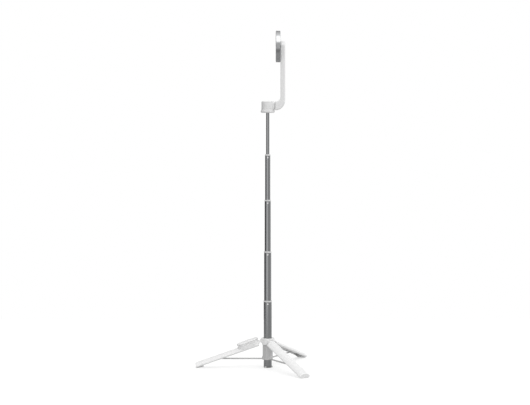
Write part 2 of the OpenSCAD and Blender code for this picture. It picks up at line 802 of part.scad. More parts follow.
module disc_housing() {
    edge = disc_wall / 2;
    color("gray") difference() {
        about_disc() polygon([
            [0, disc_floor], [cup_r, disc_floor], [cup_r, disc_open], [disc_r - edge, disc_open],
            [disc_r, disc_open + edge], [disc_r, disc_back - edge], [disc_r - edge, disc_back],
            [disc_boss_r, disc_back], [disc_boss_r, disc_back + disc_boss_h], [0, disc_back + disc_boss_h]
        ]);
        translate([disc_floor - cut_over, 0, disc_z]) bar_x(stud_d / 2 + running_fit, disc_r);
    }
}

module disc_yoke() {
    color("silver") about_disc() translate([stud_head_d / 2 + clear_gap, disc_floor - yoke_t])
        square([cup_r - stud_head_d / 2 - clear_gap, yoke_t]);
}

module magnet_ring() {
    pitch = 360 / magnet_count;
    gap = pitch / 8;
    color("silver") translate([0, 0, disc_z]) rotate([0, 90, 0]) for (k = [0 : magnet_count - 1])
        sector(magnet_outer - magnet_w, magnet_outer, disc_face + face_pad_t, disc_floor - yoke_t,
            k * pitch + gap / 2, (k + 1) * pitch - gap / 2);
}

module face_pad() {
    color("whitesmoke") about_disc() translate([0, disc_face]) square([cup_r, face_pad_t]);
}

module disc_washer() {
    color("silver") about_disc() translate([stud_d / 2 + running_fit, disc_floor - clear_gap])
        square([(stud_head_d - stud_d) / 2 - running_fit, clear_gap - running_fit]);
}

hub_collar();
guide_sleeve();
grip_bush();
hinge_pin(1);  // hinge_pin_1
hinge_pin(2);  // hinge_pin_2
hinge_pin(3);  // hinge_pin_3
leg_shell(1);  // leg_shell_1
leg_shell(2);  // leg_shell_2
leg_shell(3);  // leg_shell_3
foot_pad(1);  // foot_pad_1
foot_pad(2);  // foot_pad_2
foot_pad(3);  // foot_pad_3
brace_wire(1);  // brace_wire_1
brace_wire(2);  // brace_wire_2
brace_wire(3);  // brace_wire_3
remote_cradle();
remote_base();
remote_cover();
remote_board();
remote_cell();
shutter_button();
outer_tube();
pole_foot();
outer_bush();
section_tube(1);  // section_2_tube
section_bush(1);  // section_2_bush
section_stop(1);  // section_2_stop
section_tube(2);  // section_3_tube
section_bush(2);  // section_3_bush
section_stop(2);  // section_3_stop
section_tube(3);  // section_4_tube
section_bush(3);  // section_4_bush
section_stop(3);  // section_4_stop
top_rod();
rod_stop();
head_flange();
pan_spindle();
pan_washer();
head_turret();
turret_cap();
arm_axle();
neck_washer();
arm_body();
disc_stud();
disc_housing();
disc_yoke();
magnet_ring();
face_pad();
disc_washer();
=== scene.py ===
import json
import math

import bmesh
import bpy
from mathutils import Matrix, Vector


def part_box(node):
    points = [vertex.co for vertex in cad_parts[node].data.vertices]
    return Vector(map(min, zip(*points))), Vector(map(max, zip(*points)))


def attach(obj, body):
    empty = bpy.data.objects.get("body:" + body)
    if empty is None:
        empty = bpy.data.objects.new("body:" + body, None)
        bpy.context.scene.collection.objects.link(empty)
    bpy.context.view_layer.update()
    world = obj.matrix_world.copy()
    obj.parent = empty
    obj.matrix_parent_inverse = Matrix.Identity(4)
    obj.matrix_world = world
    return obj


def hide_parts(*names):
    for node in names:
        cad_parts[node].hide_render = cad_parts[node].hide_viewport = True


# A selfie stick on a folding tripod. A name that ends in ROUNDS lists point numbers of an outline,
# each with its rounding radius.
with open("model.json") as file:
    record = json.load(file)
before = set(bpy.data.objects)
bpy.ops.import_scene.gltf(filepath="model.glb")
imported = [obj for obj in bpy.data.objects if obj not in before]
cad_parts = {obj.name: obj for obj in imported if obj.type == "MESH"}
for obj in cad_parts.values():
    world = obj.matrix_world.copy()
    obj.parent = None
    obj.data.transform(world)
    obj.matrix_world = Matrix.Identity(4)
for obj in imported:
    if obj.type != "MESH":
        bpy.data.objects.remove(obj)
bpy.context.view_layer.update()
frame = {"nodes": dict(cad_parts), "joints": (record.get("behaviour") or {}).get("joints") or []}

MM = 0.001
# Steps round a full turn
TURN_STEPS = 96
DISC_STEPS = 160
CRADLE_STEPS = 128
BUTTON_STEPS = 64
HINGE_STEPS = 48
ROD_STEPS = 32
# Steps along an arc
SHELL_STEPS = 32
CAVITY_STEPS = 24
RIM_STEPS = 2
CORNER_STEPS = 6
ROOT_STEPS = 16
PILL_STEPS = 20
BEND_OUTER_STEPS = 20
BEND_INNER_STEPS = 14
# Steps across a rounded edge
ROUND_STEPS = 3
TIP_STEPS = 5
NECK_STEPS = 8
ARM_STEPS = 6
ARM_INNER_STEPS = 4
ARM_TOP_STEPS = 16
# Faces that meet at more than these angles get a sharp or a rounded edge
CREASE = math.radians(38)
SHARP = 35
# How close counts as the same place, in millimetres
NEAR = 1e-3
WELD = 1e-4
SLICE = 1e-5


def corner_low(node):
    """Lowest corner of a CAD node, in millimetres."""
    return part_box(node)[0] / MM


def corner_high(node):
    """Highest corner of a CAD node, in millimetres."""
    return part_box(node)[1] / MM


def joint(name):
    """A joint of the frame, by its name."""
    return next(j for j in frame["joints"] if j["name"] == name)


# Room between moving pieces, and how far a cutter reaches past what it cuts, in millimetres
CLEAR = 0.3
CUT_PAST = 1

# Sizes of the tripod, in millimetres
HINGE = Vector(joint("leg_1_fold")["pos_m"]) / MM
HINGE_R = math.hypot(HINGE.x, HINGE.y)
HINGE_Z = HINGE.z
LEG_OPEN = math.radians(joint("leg_1_fold")["range_deg"][1])
LEG_SLOPE = math.pi / 2 - LEG_OPEN
LEG_AZIMUTHS = {1: math.pi, 2: -math.pi / 3, 3: math.pi / 3}
LEG_R = 13.0
LEG_SKIN = 1.5
LEG_GAP = 0.3
LEG_HALF = math.pi / 3 - math.asin(LEG_GAP / 2 / LEG_R)
LEG_REACH = 118.9
LEG_TIP = LEG_REACH / math.sin(LEG_OPEN)
CORNER_ROUND = 1.6
CAVITY_R = LEG_R - LEG_SKIN
RIM_DEPTH = 3.5
RIM_ANGLE = math.radians(9)
RIM_R = LEG_R - RIM_DEPTH
TIP_WALL = 5.0
TIP_LEAN = math.radians(11)
TIP_ROUND = 1.2
PAD_SEAT = RIM_R * math.cos(LEG_HALF)
PAD_ROUND = 0.35
PAD_SHARP = 20
BRACE = Vector(joint("brace_1_swing")["pos_m"]) / MM
BRACE_R = abs(BRACE.x)
BRACE_Z = BRACE.z
WIRE_R = 1.1
WIRE_COAT_R = 1.35
WIRE_ROUND = 0.25
BAR_R = 0.75
BAR_ROUND = 0.2
INNER_BAR = 5.2
OUTER_BAR = 8.0
HOOK_W = 2.6
HOOK_THICK = 2.5
HOOK_LIP = 1.0
HOOK_ROUND = 0.25
BRACE_LENGTH = abs(corner_low("brace_wire_1").x) - BAR_R - BRACE_R
BAR_REACH = BRACE_R + BRACE_LENGTH - HINGE_R
BAR_RUN = BAR_REACH * math.sin(LEG_OPEN) + (HINGE_Z - BRACE_Z) * math.cos(LEG_OPEN)
BAR_DEPTH = (HINGE_Z - BRACE_Z) * math.sin(LEG_OPEN) - BAR_REACH * math.cos(LEG_OPEN)
KNUCKLE_R = 2.3
KNUCKLE_W = 6.6
KNUCKLE_ROUND = 0.3
TONGUE_UNDER = -1.2
TONGUE_OVER = 1.1
TONGUE_ROUND = 0.4
HUB_R = 12.7
HUB_LIP = 0.5
HUB_ROUND = 0.3
HUB_LOW = corner_low("hub_collar").z
HUB_TOP = corner_high("hub_collar").z
HUB_BORE = corner_high("grip_bush").x
SLOT_HALF = KNUCKLE_W / 2 + CLEAR
SLOT_FLOOR = HINGE_R - KNUCKLE_R - CLEAR
SLOT_TOP = HINGE_Z + KNUCKLE_R + CLEAR
EAR_R = 2.7
EAR_HALF = 6.0
EAR_ROUND = 0.35
SHELL_START = HINGE_Z - HUB_LOW + CLEAR
ROOT_HALF = 7.5
ROOT_START = EAR_R + 2 * CLEAR
ROOT_SINK = 0.02
ROOT_ROUND = 0.45
NOTCH_PLAY = 0.2
NOTCH_R = CAVITY_R - NOTCH_PLAY - CLEAR
NOTCH_TOP = HINGE_Z - ROOT_START + CLEAR

# Sizes of the pole, in millimetres
TUBE_WALL = 0.45
TUBE_ROUND = 0.12
BUSH_DEPTH = 12.0
BUSH_PLAY = 0.05
COLLAR_H = 2.6
COLLAR_ROUNDS = [(3, 0.2), (4, 0.6), (5, 0.25)]
BOSS_R = 1.35
BOSS_DROP = 5.9
BOSS_PROUD = 0.02
BOSS_SINK = 0.3
BOSS_ROUND = 0.2
BOSS_CUT = 3
FOOT_ROUND = 0.5
TAB_HALF = 1.5
TAB_SINK = 1.5
TAB_LIFT = 0.05
TAB_ROUND = 0.3

# Sizes of the head, arm and disc, in millimetres
FLANGE_LOW = corner_low("head_flange").z
FLANGE_TOP = corner_high("head_flange").z
FLANGE_R = corner_high("head_flange").x
FLANGE_BEVEL = 1.2
FLANGE_EDGE = 1.4
FLANGE_ROUNDS = [(1, 0.6), (2, 0.6), (3, 0.6), (4, 0.25)]
TURRET_LOW = corner_low("head_turret").z
TURRET_R = -corner_low("head_turret").x
TURRET_SEAM = 0.4
TURRET_ROUNDS = [(1, 0.3), (2, 0.1), (5, 0.1)]
SEAM_RISE = 4.1
CAP_LOW = corner_low("turret_cap").z
CAP_TOP = corner_high("turret_cap").z
CAP_WALL = 0.45
CAP_SHOULDER = 0.9
CAP_FALL = 0.08
CAP_FLAT = 3
CAP_ROUNDS = [(1, 0.1), (2, 0.35), (3, 0.4)]
WASHER_R = 11.0
WASHER_BORE = 2.75
WASHER_ROUND = 0.06
NECK_Z = (corner_low("arm_axle").z + corner_high("arm_axle").z) / 2
NECK_HALF = 6.7
NECK_ROUND = 3.0
NECK_LIP = 0.5
NECK_END = corner_high("head_turret").x
ARM_LOW = corner_low("arm_body")
ARM_HIGH = corner_high("arm_body")
ARM_HALF = ARM_HIGH.y
ARM_INNER = 22.85
ARM_FOOT_TOP = 2 * NECK_Z - ARM_LOW.z
ARM_ROUND = 2.4
ARM_INNER_ROUND = 1.3
ARM_END_ROUND = 0.9
ARM_SHARP = 40
ARM_FLAT = 0.01
ARM_WELD = 0.05
BEND_OUTER = 17.7
BEND_INNER = 7.4
DISC_R = corner_high("disc_housing").y
DISC_Z = (corner_low("disc_housing").z + corner_high("disc_housing").z) / 2
DISC_OPEN = corner_low("disc_housing").x
DISC_EDGE = 0.35
DISC_ROUNDS = [(2, 0.2), (3, 0.12), (4, 0.12), (5, 0.12), (6, 0.12), (8, 0.15)]
DISC_BOSS_X = corner_high("disc_housing").x
DISC_BOSS_R = 7.5
DISC_BOSS_RISE = 0.15
DISC_BACK = DISC_BOSS_X - DISC_BOSS_RISE
DISC_FLOOR = corner_high("disc_yoke").x
CUP_R = corner_high("face_pad").y
FACE_X = corner_low("face_pad").x
FACE_BACK = corner_high("face_pad").x
# The face from its middle outward: radius, and depth below its highest ring
FACE_RINGS = [(0, 0.35), (13.5, 0.3), (14.2, 0), (21.2, 0), (21.5, 0.25), (22.3, 0.25), (22.6, 0),
              (CUP_R, 0)]
FACE_ROUNDS = [(2, 0.3), (7, 0.5)]

# Sizes of the remote, in millimetres
REMOTE_L = 40.0
REMOTE_W = 21.0
REMOTE_T = 7.0
REMOTE_SEAM = 3.6
REMOTE_CROWN = 2.6
REMOTE_START = 4.5
END_SOFT = 4.0
END_FALL = 1.6
CROWN_R = ((REMOTE_W / 2) ** 2 + REMOTE_CROWN ** 2) / (2 * REMOTE_CROWN)
CROWN_RISE = 0.5
CRADLE_RISE = 0.8
CRADLE_FLARE = 1.03
CRADLE_PLAY = 0.05
CRADLE_ROUND = 0.1
REMOTE_SEAT = LEG_R - HINGE_R + CRADLE_RISE + CRADLE_PLAY
# Rings of the remote's outline: how far each is drawn in, and its height
CRADLE_RIM = [(-0.1, -0.35), (0.05, -0.12), (0.4, 0)]
BASE_RINGS = [(1.4, 0), (1.1, 0.25), (1.0, 0.8), (1.1, 1.6), (0.9, 2.4), (0.3, 3.1),
              (0.15, REMOTE_SEAM - 0.15), (0.5, REMOTE_SEAM)]
COVER_RINGS = [(0.5, REMOTE_SEAM), (0.1, REMOTE_SEAM + 0.12), (0.0, REMOTE_SEAM + 0.3),
               (0.0, REMOTE_T - 0.45), (0.08, REMOTE_T - 0.25), (0.3, REMOTE_T - 0.08), (0.7, REMOTE_T)]
COVER_INSETS = (1.3, 1.5, 1.7, 1.8, 1.6, 1.1)
BUTTON_R = 4.5
BUTTON_RISE = 0.2
BUTTON_SINK = 0.95
BUTTON_ROUND = 0.2
# The button's top from its edge inward: how far in, and how far below its highest ring
BUTTON_DISH = [(0, 0.1), (0.9, 0), (1.5, 0.06), (2.6, 0.3), (BUTTON_R, 0.38)]
WELL_DEPTH = 1.75
WELL_PLAY = 0.12
WELL_ROUND = 0.2
WELL_CUT = 4.0
WINDOW_R = 0.8
WINDOW_AT = 10.5
WINDOW_SINK = 0.6
WINDOW_EDGE = 0.02
WINDOW_RISE = 0.05
WINDOW_ROUND = 0.1


# Finishes: shared effects, each a group that gives colour, roughness and height
COLOUR = "NodeSocketColor"
VALUE = "NodeSocketFloat"
VECTOR = "NodeSocketVector"
EFFECT_INPUTS = [("Colour", COLOUR), ("Edge", COLOUR), ("Drift", VALUE), ("Rough", VALUE),
                 ("Sheen spread", VALUE), ("Wear and highlight", VALUE)]
EFFECT_OUTPUTS = [("Colour", COLOUR), ("Roughness", VALUE), ("Height", VALUE)]
# Numbers of a mix node's inputs: its share, its two values and its two colours
SHARE, MIX_A, MIX_B, TINT_A, TINT_B = 0, 2, 3, 6, 7
WORN_POLISH = -0.12


def add(tree, kind, inputs=None, **settings):
    """A shader node with its settings, and its inputs set or linked."""
    node = tree.nodes.new("ShaderNode" + kind)
    for key, value in settings.items():
        setattr(node, key, value)
    for key, value in (inputs or {}).items():
        if isinstance(value, bpy.types.NodeSocket):
            tree.links.new(value, node.inputs[key])
        else:
            node.inputs[key].default_value = value
    return node


def maths(tree, operation, *values):
    """The result of a maths node."""
    return add(tree, "Math", dict(enumerate(values)), operation=operation).outputs[0]


def swing(tree, value, middle, spread):
    """A noise value of 0 to 1, moved to swing round a middle value."""
    centred = maths(tree, "SUBTRACT", value, 0.5)
    return maths(tree, "MULTIPLY_ADD", centred, spread, middle)


def noise(tree, vector, scale, detail=3.0, roughness=0.5):
    """A noise value of 0 to 1 at a point."""
    inputs = {"Vector": vector, "Scale": scale, "Detail": detail, "Roughness": roughness}
    return add(tree, "TexNoise", inputs).outputs["Fac"]


def wear_and_highlight_mask(tree, point, amount):
    """How far an edge is rubbed and lightened, part real wear and part painted highlight, broken up along
    its length.
    """
    # The rubbed-edge mark lightens rounded edges: part wear, part painted highlight
    edge = add(tree, "Attribute", attribute_name="worn_and_lit").outputs["Fac"]
    patches = noise(tree, point, scale=260.0, detail=4.0, roughness=0.65)
    band = add(tree, "MapRange", {"Value": patches, "From Min": 0.38, "From Max": 0.62})
    return maths(tree, "MULTIPLY", maths(tree, "MULTIPLY", edge, band.outputs[0]), amount)


def effect(name, own_input, own_kind):
    """Starts an effect group: its tree, its inputs with one of its own, a point and the rubbed edges, which
    also carry a painted highlight.
    """
    tree = bpy.data.node_groups.new(name, "ShaderNodeTree")
    for label, kind in [*EFFECT_INPUTS, (own_input, own_kind)]:
        tree.interface.new_socket(name=label, in_out="INPUT", socket_type=kind)
    for label, kind in EFFECT_OUTPUTS:
        tree.interface.new_socket(name=label, in_out="OUTPUT", socket_type=kind)
    given = tree.nodes.new("NodeGroupInput").outputs
    point = add(tree, "TexCoord").outputs["Object"]
    return tree, given, point, wear_and_highlight_mask(tree, point, given["Wear and highlight"])


def give(tree, given, tone, worn_and_lit, rough, height):
    """Ends an effect group: the colour at a tone, under rubbed edges that also carry a painted highlight,
    with its roughness and height.
    """
    base = add(tree, "VectorMath", {0: given["Colour"], "Scale": tone}, operation="SCALE").outputs[0]
    mixed = add(tree, "Mix", {SHARE: worn_and_lit, TINT_A: base, TINT_B: given["Edge"]}, data_type="RGBA")
    out = tree.nodes.new("NodeGroupOutput").inputs
    for (label, _), value in zip(EFFECT_OUTPUTS, (mixed.outputs[2], rough, height)):
        tree.links.new(value, out[label])
    return tree


def moulded_skin():
    """Moulded plastic or rubber: broad tone drift, handling sheen, fine tooled grain and rubbed edges
    lightened partly as painted highlight.
    """
    tree, given, point, worn_and_lit = effect("moulded_skin", "Grain", VALUE)
    broad = noise(tree, point, scale=22.0, detail=2.0)
    hand = noise(tree, point, scale=95.0, detail=4.0, roughness=0.6)
    grain = noise(tree, point, scale=given["Grain"], detail=2.0, roughness=0.6)
    drift = swing(tree, broad, middle=1.0, spread=given["Drift"])
    tone = maths(tree, "MULTIPLY", drift, swing(tree, grain, middle=1.0, spread=0.035))
    rough = swing(tree, hand, middle=given["Rough"], spread=given["Sheen spread"])
    polished = maths(tree, "MULTIPLY_ADD", worn_and_lit, WORN_POLISH, rough)
    return give(tree, given, tone, worn_and_lit, polished, grain)


def drawn_metal():
    """Drawn or ground metal: fine lines along one direction, cloudy tone and bright rubbed edges, partly a
    painted highlight.
    """
    tree, given, point, worn_and_lit = effect("drawn_metal", "Stretch", VECTOR)
    along = add(tree, "Mapping", {"Vector": point, "Scale": given["Stretch"]}).outputs[0]
    lines = noise(tree, along, scale=1.0, roughness=0.6)
    cloud = noise(tree, point, scale=45.0)
    drift = swing(tree, cloud, middle=1.0, spread=given["Drift"])
    tone = maths(tree, "MULTIPLY", drift, swing(tree, lines, middle=1.0, spread=0.1))
    rough = swing(tree, lines, middle=given["Rough"], spread=given["Sheen spread"])
    return give(tree, given, tone, worn_and_lit, rough, lines)


def lathe_turned():
    """Metal faced on a lathe: fine rings about the disc's axis, with a slow cloud over them."""
    tree, given, point, worn_and_lit = effect("lathe_turned", "Rings", VALUE)
    centred = add(tree, "Mapping", {"Vector": point, "Location": (0, 0, -DISC_Z * MM)}).outputs[0]
    flat = add(tree, "VectorMath", {0: centred, 1: (0, 1, 1)}, operation="MULTIPLY").outputs[0]
    reach = add(tree, "VectorMath", {0: flat}, operation="LENGTH").outputs["Value"]
    across = add(tree, "SeparateXYZ", {0: point}).outputs["X"]
    count = maths(tree, "MULTIPLY", maths(tree, "ADD", reach, across), given["Rings"])
    rings = add(tree, "TexNoise", {"W": count, "Scale": 1.0}, noise_dimensions="1D").outputs["Fac"]
    cloud = noise(tree, point, scale=60.0)
    drift = swing(tree, cloud, middle=1.0, spread=given["Drift"])
    tone = maths(tree, "MULTIPLY", drift, swing(tree, rings, middle=1.0, spread=0.14))
    rough = swing(tree, rings, middle=given["Rough"], spread=given["Sheen spread"])
    return give(tree, given, tone, worn_and_lit, rough, rings)


MOULDED = moulded_skin()
DRAWN = drawn_metal()
TURNED = lathe_turned()
# Constants of the finishes
PLASTIC_IOR = 1.5
PLASTIC_SHEEN = 0.14
# Amounts of the rubbed-edge mark, which is part wear and part painted highlight
PLASTIC_WEAR_AND_HIGHLIGHT = 0.5
PLASTIC_BUMP = 0.35
METAL_WEAR_AND_HIGHLIGHT = 0.6
METAL_BUMP = (0.12, 0.002)
COLD = -0.004


def grey(level, tint=0.0):
    """A grey, warm with a tint above 0 and cold with one below."""
    return (level + tint, level, level - tint, 1)


def finish(name, group, values, bump, **sockets):
    """A material: an effect group feeding the shader, and the shader's own constant values."""
    material = bpy.data.materials.new(name)
    material.use_nodes = True
    tree = material.node_tree
    shader = tree.nodes["Principled BSDF"]
    source = tree.nodes.new("ShaderNodeGroup")
    source.node_tree = group
    for key, value in values.items():
        source.inputs[key].default_value = value
    strength, depth = bump
    relief = add(tree, "Bump", {"Strength": strength, "Distance": depth * MM,
                                "Height": source.outputs["Height"]})
    tree.links.new(source.outputs["Colour"], shader.inputs["Base Color"])
    tree.links.new(source.outputs["Roughness"], shader.inputs["Roughness"])
    tree.links.new(relief.outputs[0], shader.inputs["Normal"])
    for key, value in sockets.items():
        shader.inputs[key.replace("_", " ")].default_value = value
    return material


def plastic(name, level, edge, rough, grain=3200.0, drift=0.03, depth=0.006):
    """A grey plastic or rubber, from its level, the level of its rubbed edges (part wear, part painted
    highlight) and its roughness.
    """
    values = {"Colour": grey(level), "Edge": grey(edge), "Drift": drift, "Rough": rough,
              "Sheen spread": PLASTIC_SHEEN, "Grain": grain, "Wear and highlight": PLASTIC_WEAR_AND_HIGHLIGHT}
    return finish(name, MOULDED, values, (PLASTIC_BUMP, depth), IOR=PLASTIC_IOR)


def metal(name, level, edge, rough, stretch=(2600, 2600, 14), drift=0.12, spread=0.14):
    """A cold grey metal, from its level, the level of its rubbed edges (part wear, part painted highlight)
    and its roughness.
    """
    values = {"Colour": grey(level, COLD), "Edge": grey(edge), "Drift": drift, "Rough": rough,
              "Sheen spread": spread, "Stretch": stretch, "Wear and highlight": METAL_WEAR_AND_HIGHLIGHT}
    return finish(name, DRAWN, values, METAL_BUMP, Metallic=1.0)


white_shell = plastic("white_shell", level=0.83, edge=0.88, rough=0.36)
# A darker copy of the white plastic: painted shade for the head's flange
white_painted_shade = plastic("white_painted_shade", level=0.74, edge=0.8, rough=0.4)
white_collar = plastic("white_collar", level=0.68, edge=0.74, rough=0.42)
white_face = plastic("white_silicone", level=0.7, edge=0.74, rough=0.62, grain=1500.0, depth=0.02)
sleeve_grey = plastic("sleeve_grey", level=0.57, edge=0.66, rough=0.4, grain=2400.0, drift=0.05)
foot_grey = plastic("foot_tab_grey", level=0.62, edge=0.68, rough=0.45)
# The foot cap is light grey plastic, darkened here as painted shade where it meets the floor
foot_cap_shade = plastic("foot_cap_painted_shade", level=0.2, edge=0.26, rough=0.45)
button_grey = plastic("button_grey", level=0.76, edge=0.8, rough=0.5)
pad_rubber = plastic("pad_rubber", level=0.58, edge=0.5, rough=0.78, grain=1300.0, drift=0.12, depth=0.05)
neck_grey = plastic("neck_grey", level=0.7, edge=0.76, rough=0.4)
pan_washer = plastic("pan_washer", level=0.7, edge=0.74, rough=0.6, grain=1500.0, depth=0.03)
bush_grey = plastic("bush_grey", level=0.25, edge=0.3, rough=0.55)
lamp_dark = plastic("lamp_window", level=0.05, edge=0.08, rough=0.2)
wire_coat = plastic("wire_coat", level=0.56, edge=0.62, rough=0.42, grain=2600.0, drift=0.04)
board_green = finish("board_green", MOULDED, {
    "Colour": (0.03, 0.16, 0.07, 1), "Edge": (0.3, 0.25, 0.1, 1), "Drift": 0.5, "Rough": 0.4,
    "Sheen spread": 0.2, "Grain": 900.0, "Wear and highlight": PLASTIC_WEAR_AND_HIGHLIGHT}, (0.4, 0.03), IOR=PLASTIC_IOR)
tube_metal = metal("tube_metal", level=0.25, edge=0.4, rough=0.24, drift=0.02, spread=0.04)
inner_steel = metal("inner_steel", level=0.5, edge=0.7, rough=0.3, stretch=(900, 900, 900))
magnet_nickel = metal("magnet_nickel", level=0.55, edge=0.75, rough=0.22, stretch=(500, 500, 500))
disc_metal = finish("disc_metal", TURNED, {
    "Colour": grey(0.3, COLD), "Edge": grey(0.45), "Drift": 0.1, "Rough": 0.22, "Sheen spread": 0.08,
    "Rings": 5200.0, "Wear and highlight": METAL_WEAR_AND_HIGHLIGHT}, (0.25, 0.004), Metallic=1.0)


# Shapes: each shell is its own bmesh in millimetres
def start():
    """An empty shell, with room for its rubbed edges, which also carry a painted highlight."""
    bm = bmesh.new()
    bm.verts.layers.float.new("worn_and_lit")
    return bm


def soften(bm, edges, width, segments=ROUND_STEPS):
    """Rounds edges over, and marks them as where a hand or a table rubs and where a painted highlight
    lightens them.
    """
    edges = list(edges)
    if not edges:
        return
    made = bmesh.ops.bevel(bm, geom=edges, offset=width, offset_type="OFFSET", affect="EDGES",
                           segments=segments, profile=0.5, material=-1, clamp_overlap=False)
    worn_and_lit = bm.verts.layers.float["worn_and_lit"]
    rounded = set(made["faces"])
    for vert in {v for face in rounded for v in face.verts}:
        if rounded.issuperset(vert.link_faces):
            vert[worn_and_lit] = 1.0


def sharp_edges(bm, angle=SHARP):
    """The edges where two faces meet at more than an angle in degrees."""
    limit = math.radians(angle)
    return [e for e in bm.edges if len(e.link_faces) == 2 and e.calc_face_angle() > limit]


def place(bm, matrix):
    """The shell, moved to a place."""
    bmesh.ops.transform(bm, matrix=matrix, verts=bm.verts)
    return bm


def turned(outline, rounds=(), closed=True, steps=TURN_STEPS):
    """A shell turned about Z from (radius, height) points; rounds gives (point number, rounding radius)."""
    bm = start()
    verts = [bm.verts.new((r, 0, z)) for r, z in outline]
    edges = [bm.edges.new(pair) for pair in zip(verts, verts[1:])]
    if closed:
        edges.append(bm.edges.new((verts[-1], verts[0])))
    bmesh.ops.spin(bm, geom=verts + edges, cent=(0, 0, 0), axis=(0, 0, 1), angle=math.tau, steps=steps,
                   use_merge=True)
    bmesh.ops.remove_doubles(bm, verts=bm.verts, dist=WELD)
    bmesh.ops.recalc_face_normals(bm, faces=bm.faces)
    for number, radius in rounds:
        r, z = outline[number]
        ring = [e for e in bm.edges if all(
            abs(math.hypot(v.co.x, v.co.y) - r) < NEAR and abs(v.co.z - z) < NEAR for v in e.verts)]
        soften(bm, ring, radius)
    return bm


ALONG_X = Matrix.Rotation(math.pi / 2, 4, "Y")
ALONG_Y = Matrix.Rotation(-math.pi / 2, 4, "X")


def about_z(angle):
    """A turn about the pole."""
    return Matrix.Rotation(angle, 4, "Z")


def rod(radius, length, rounding, steps=ROD_STEPS):
    """A solid round bar from the origin up Z, with rounded ends."""
    outline = [(0, 0), (radius, 0), (radius, length), (0, length)]
    return turned(outline, [(1, rounding), (2, rounding)], closed=False, steps=steps)


def box(low, high):
    """A box between two corners."""
    bm = start()
    low, high = Vector(low), Vector(high)
    bmesh.ops.create_cube(bm, size=1)
    bmesh.ops.scale(bm, vec=high - low, verts=bm.verts)
    bmesh.ops.translate(bm, vec=(low + high) / 2, verts=bm.verts)
    return bm


def block(low, high, rounding):
    """A box between two corners, with rounded edges."""
    bm = box(low, high)
    soften(bm, bm.edges, rounding)
    return bm


def joined(*shells):
    """One bmesh holding all the shells."""
    whole = start()
    for bm in shells:
        scratch = bpy.data.meshes.new("scratch")
        bm.to_mesh(scratch)
        bm.free()
        whole.from_mesh(scratch)
        bpy.data.meshes.remove(scratch)
    return whole


def cut(bm, *cutters):
    """The shell with the cutters' space taken out."""
    objects = []
    for number, shell in enumerate([bm, *cutters]):
        mesh = bpy.data.meshes.new(f"cut_{number}")
        shell.to_mesh(mesh)
        shell.free()
        objects.append(bpy.data.objects.new(mesh.name, mesh))
        bpy.context.scene.collection.objects.link(objects[-1])
    body = objects[0]
    for cutter in objects[1:]:
        step = body.modifiers.new(cutter.name, "BOOLEAN")
        step.operation = "DIFFERENCE"
        step.solver = "EXACT"
        step.object = cutter
    seen = body.evaluated_get(bpy.context.evaluated_depsgraph_get())
    result = start()
    result.from_mesh(seen.to_mesh())
    seen.to_mesh_clear()
    for item in objects:
        mesh = item.data
        bpy.data.objects.remove(item)
        bpy.data.meshes.remove(mesh)
    return result


def arc(centre_x, centre_y, radius, first, last, steps):
    """Points on an arc, from one angle to another."""
    turn = (last - first) / steps
    return [(centre_x + radius * math.cos(first + k * turn), centre_y + radius * math.sin(first + k * turn))
            for k in range(steps + 1)]


def draw_out(bm, faces, way):
    """Extrudes faces along a way, and keeps the faces that it started from."""
    grown = bmesh.ops.extrude_face_region(bm, geom=faces, use_keep_orig=True)
    moved = [g for g in grown["geom"] if isinstance(g, bmesh.types.BMVert)]
    bmesh.ops.translate(bm, vec=way, verts=moved)


def prism(outline, low, high):
    """An outline in X and Y, drawn out from one height to another."""
    bm = start()
    foot = bm.faces.new([bm.verts.new((x, y, low)) for x, y in outline])
    draw_out(bm, [foot], (0, 0, high - low))
    bmesh.ops.recalc_face_normals(bm, faces=bm.faces)
    return bm


def piece(name, bm, body, material, slot, *stands_for):
    """Makes the finished object, lets it ride on its body and stand for its CAD nodes."""
    bmesh.ops.scale(bm, vec=(MM, MM, MM), verts=bm.verts)
    mesh = bpy.data.meshes.new(name)
    bm.to_mesh(mesh)
    bm.free()
    mesh.shade_smooth()
    mesh.set_sharp_from_angle(angle=CREASE)
    mesh.materials.append(material)
    made = bpy.data.objects.new(name, mesh)
    bpy.context.scene.collection.objects.link(made)
    even = made.modifiers.new("even_shading", "WEIGHTED_NORMAL")
    even.keep_sharp = True
    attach(made, body)
    if stands_for:
        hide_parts(*stands_for)


# Telescoping pole
def pole_tube(number, node, body):
    """A tube of the pole, with its end edges broken."""
    radius = corner_high(node).x
    low, high = corner_low(node).z, corner_high(node).z
    outline = [(radius - TUBE_WALL, low), (radius, low), (radius, high), (radius - TUBE_WALL, high)]
    tube = turned(outline, [(1, TUBE_ROUND), (2, TUBE_ROUND)])
    piece(f"tube_{number}", tube, body, tube_metal, "tube_metal", node)


def pole_bush(number, node, body, tube, inner):
    """The bush at a tube's top: its collar, and its two bosses flush with the tube."""
    collar_r = corner_high(node).x
    tube_r = corner_high(tube).x
    bore = corner_high(inner).x + BUSH_PLAY
    top = corner_high(node).z
    skirt = tube_r - TUBE_WALL
    outline = [(bore, top - BUSH_DEPTH), (skirt, top - BUSH_DEPTH), (skirt, top - COLLAR_H),
               (collar_r, top - COLLAR_H), (collar_r, top), (bore, top)]
    piece(f"collar_{number}", turned(outline, COLLAR_ROUNDS), body, white_collar, "white_plastic", node)
    face = tube_r + BOSS_PROUD
    back = skirt - BOSS_SINK
    past = tube_r + BOSS_CUT
    pegs = []
    for azimuth in (math.pi / 2, -math.pi / 2):
        peg = place(rod(BOSS_R, tube_r + CUT_PAST, BOSS_ROUND), about_z(azimuth) @ ALONG_X)
        hollow, outside = (
            turned([(near, -BOSS_CUT), (far, -BOSS_CUT), (far, BOSS_CUT), (near, BOSS_CUT)], closed=near > 0)
            for near, far in ((0, back), (face, past)))
        peg = cut(peg, hollow, outside)
        pegs.append(place(peg, Matrix.Translation((0, 0, top - BOSS_DROP))))
    piece(f"collar_{number}_pegs", joined(*pegs), body, white_shell, "white_plastic")


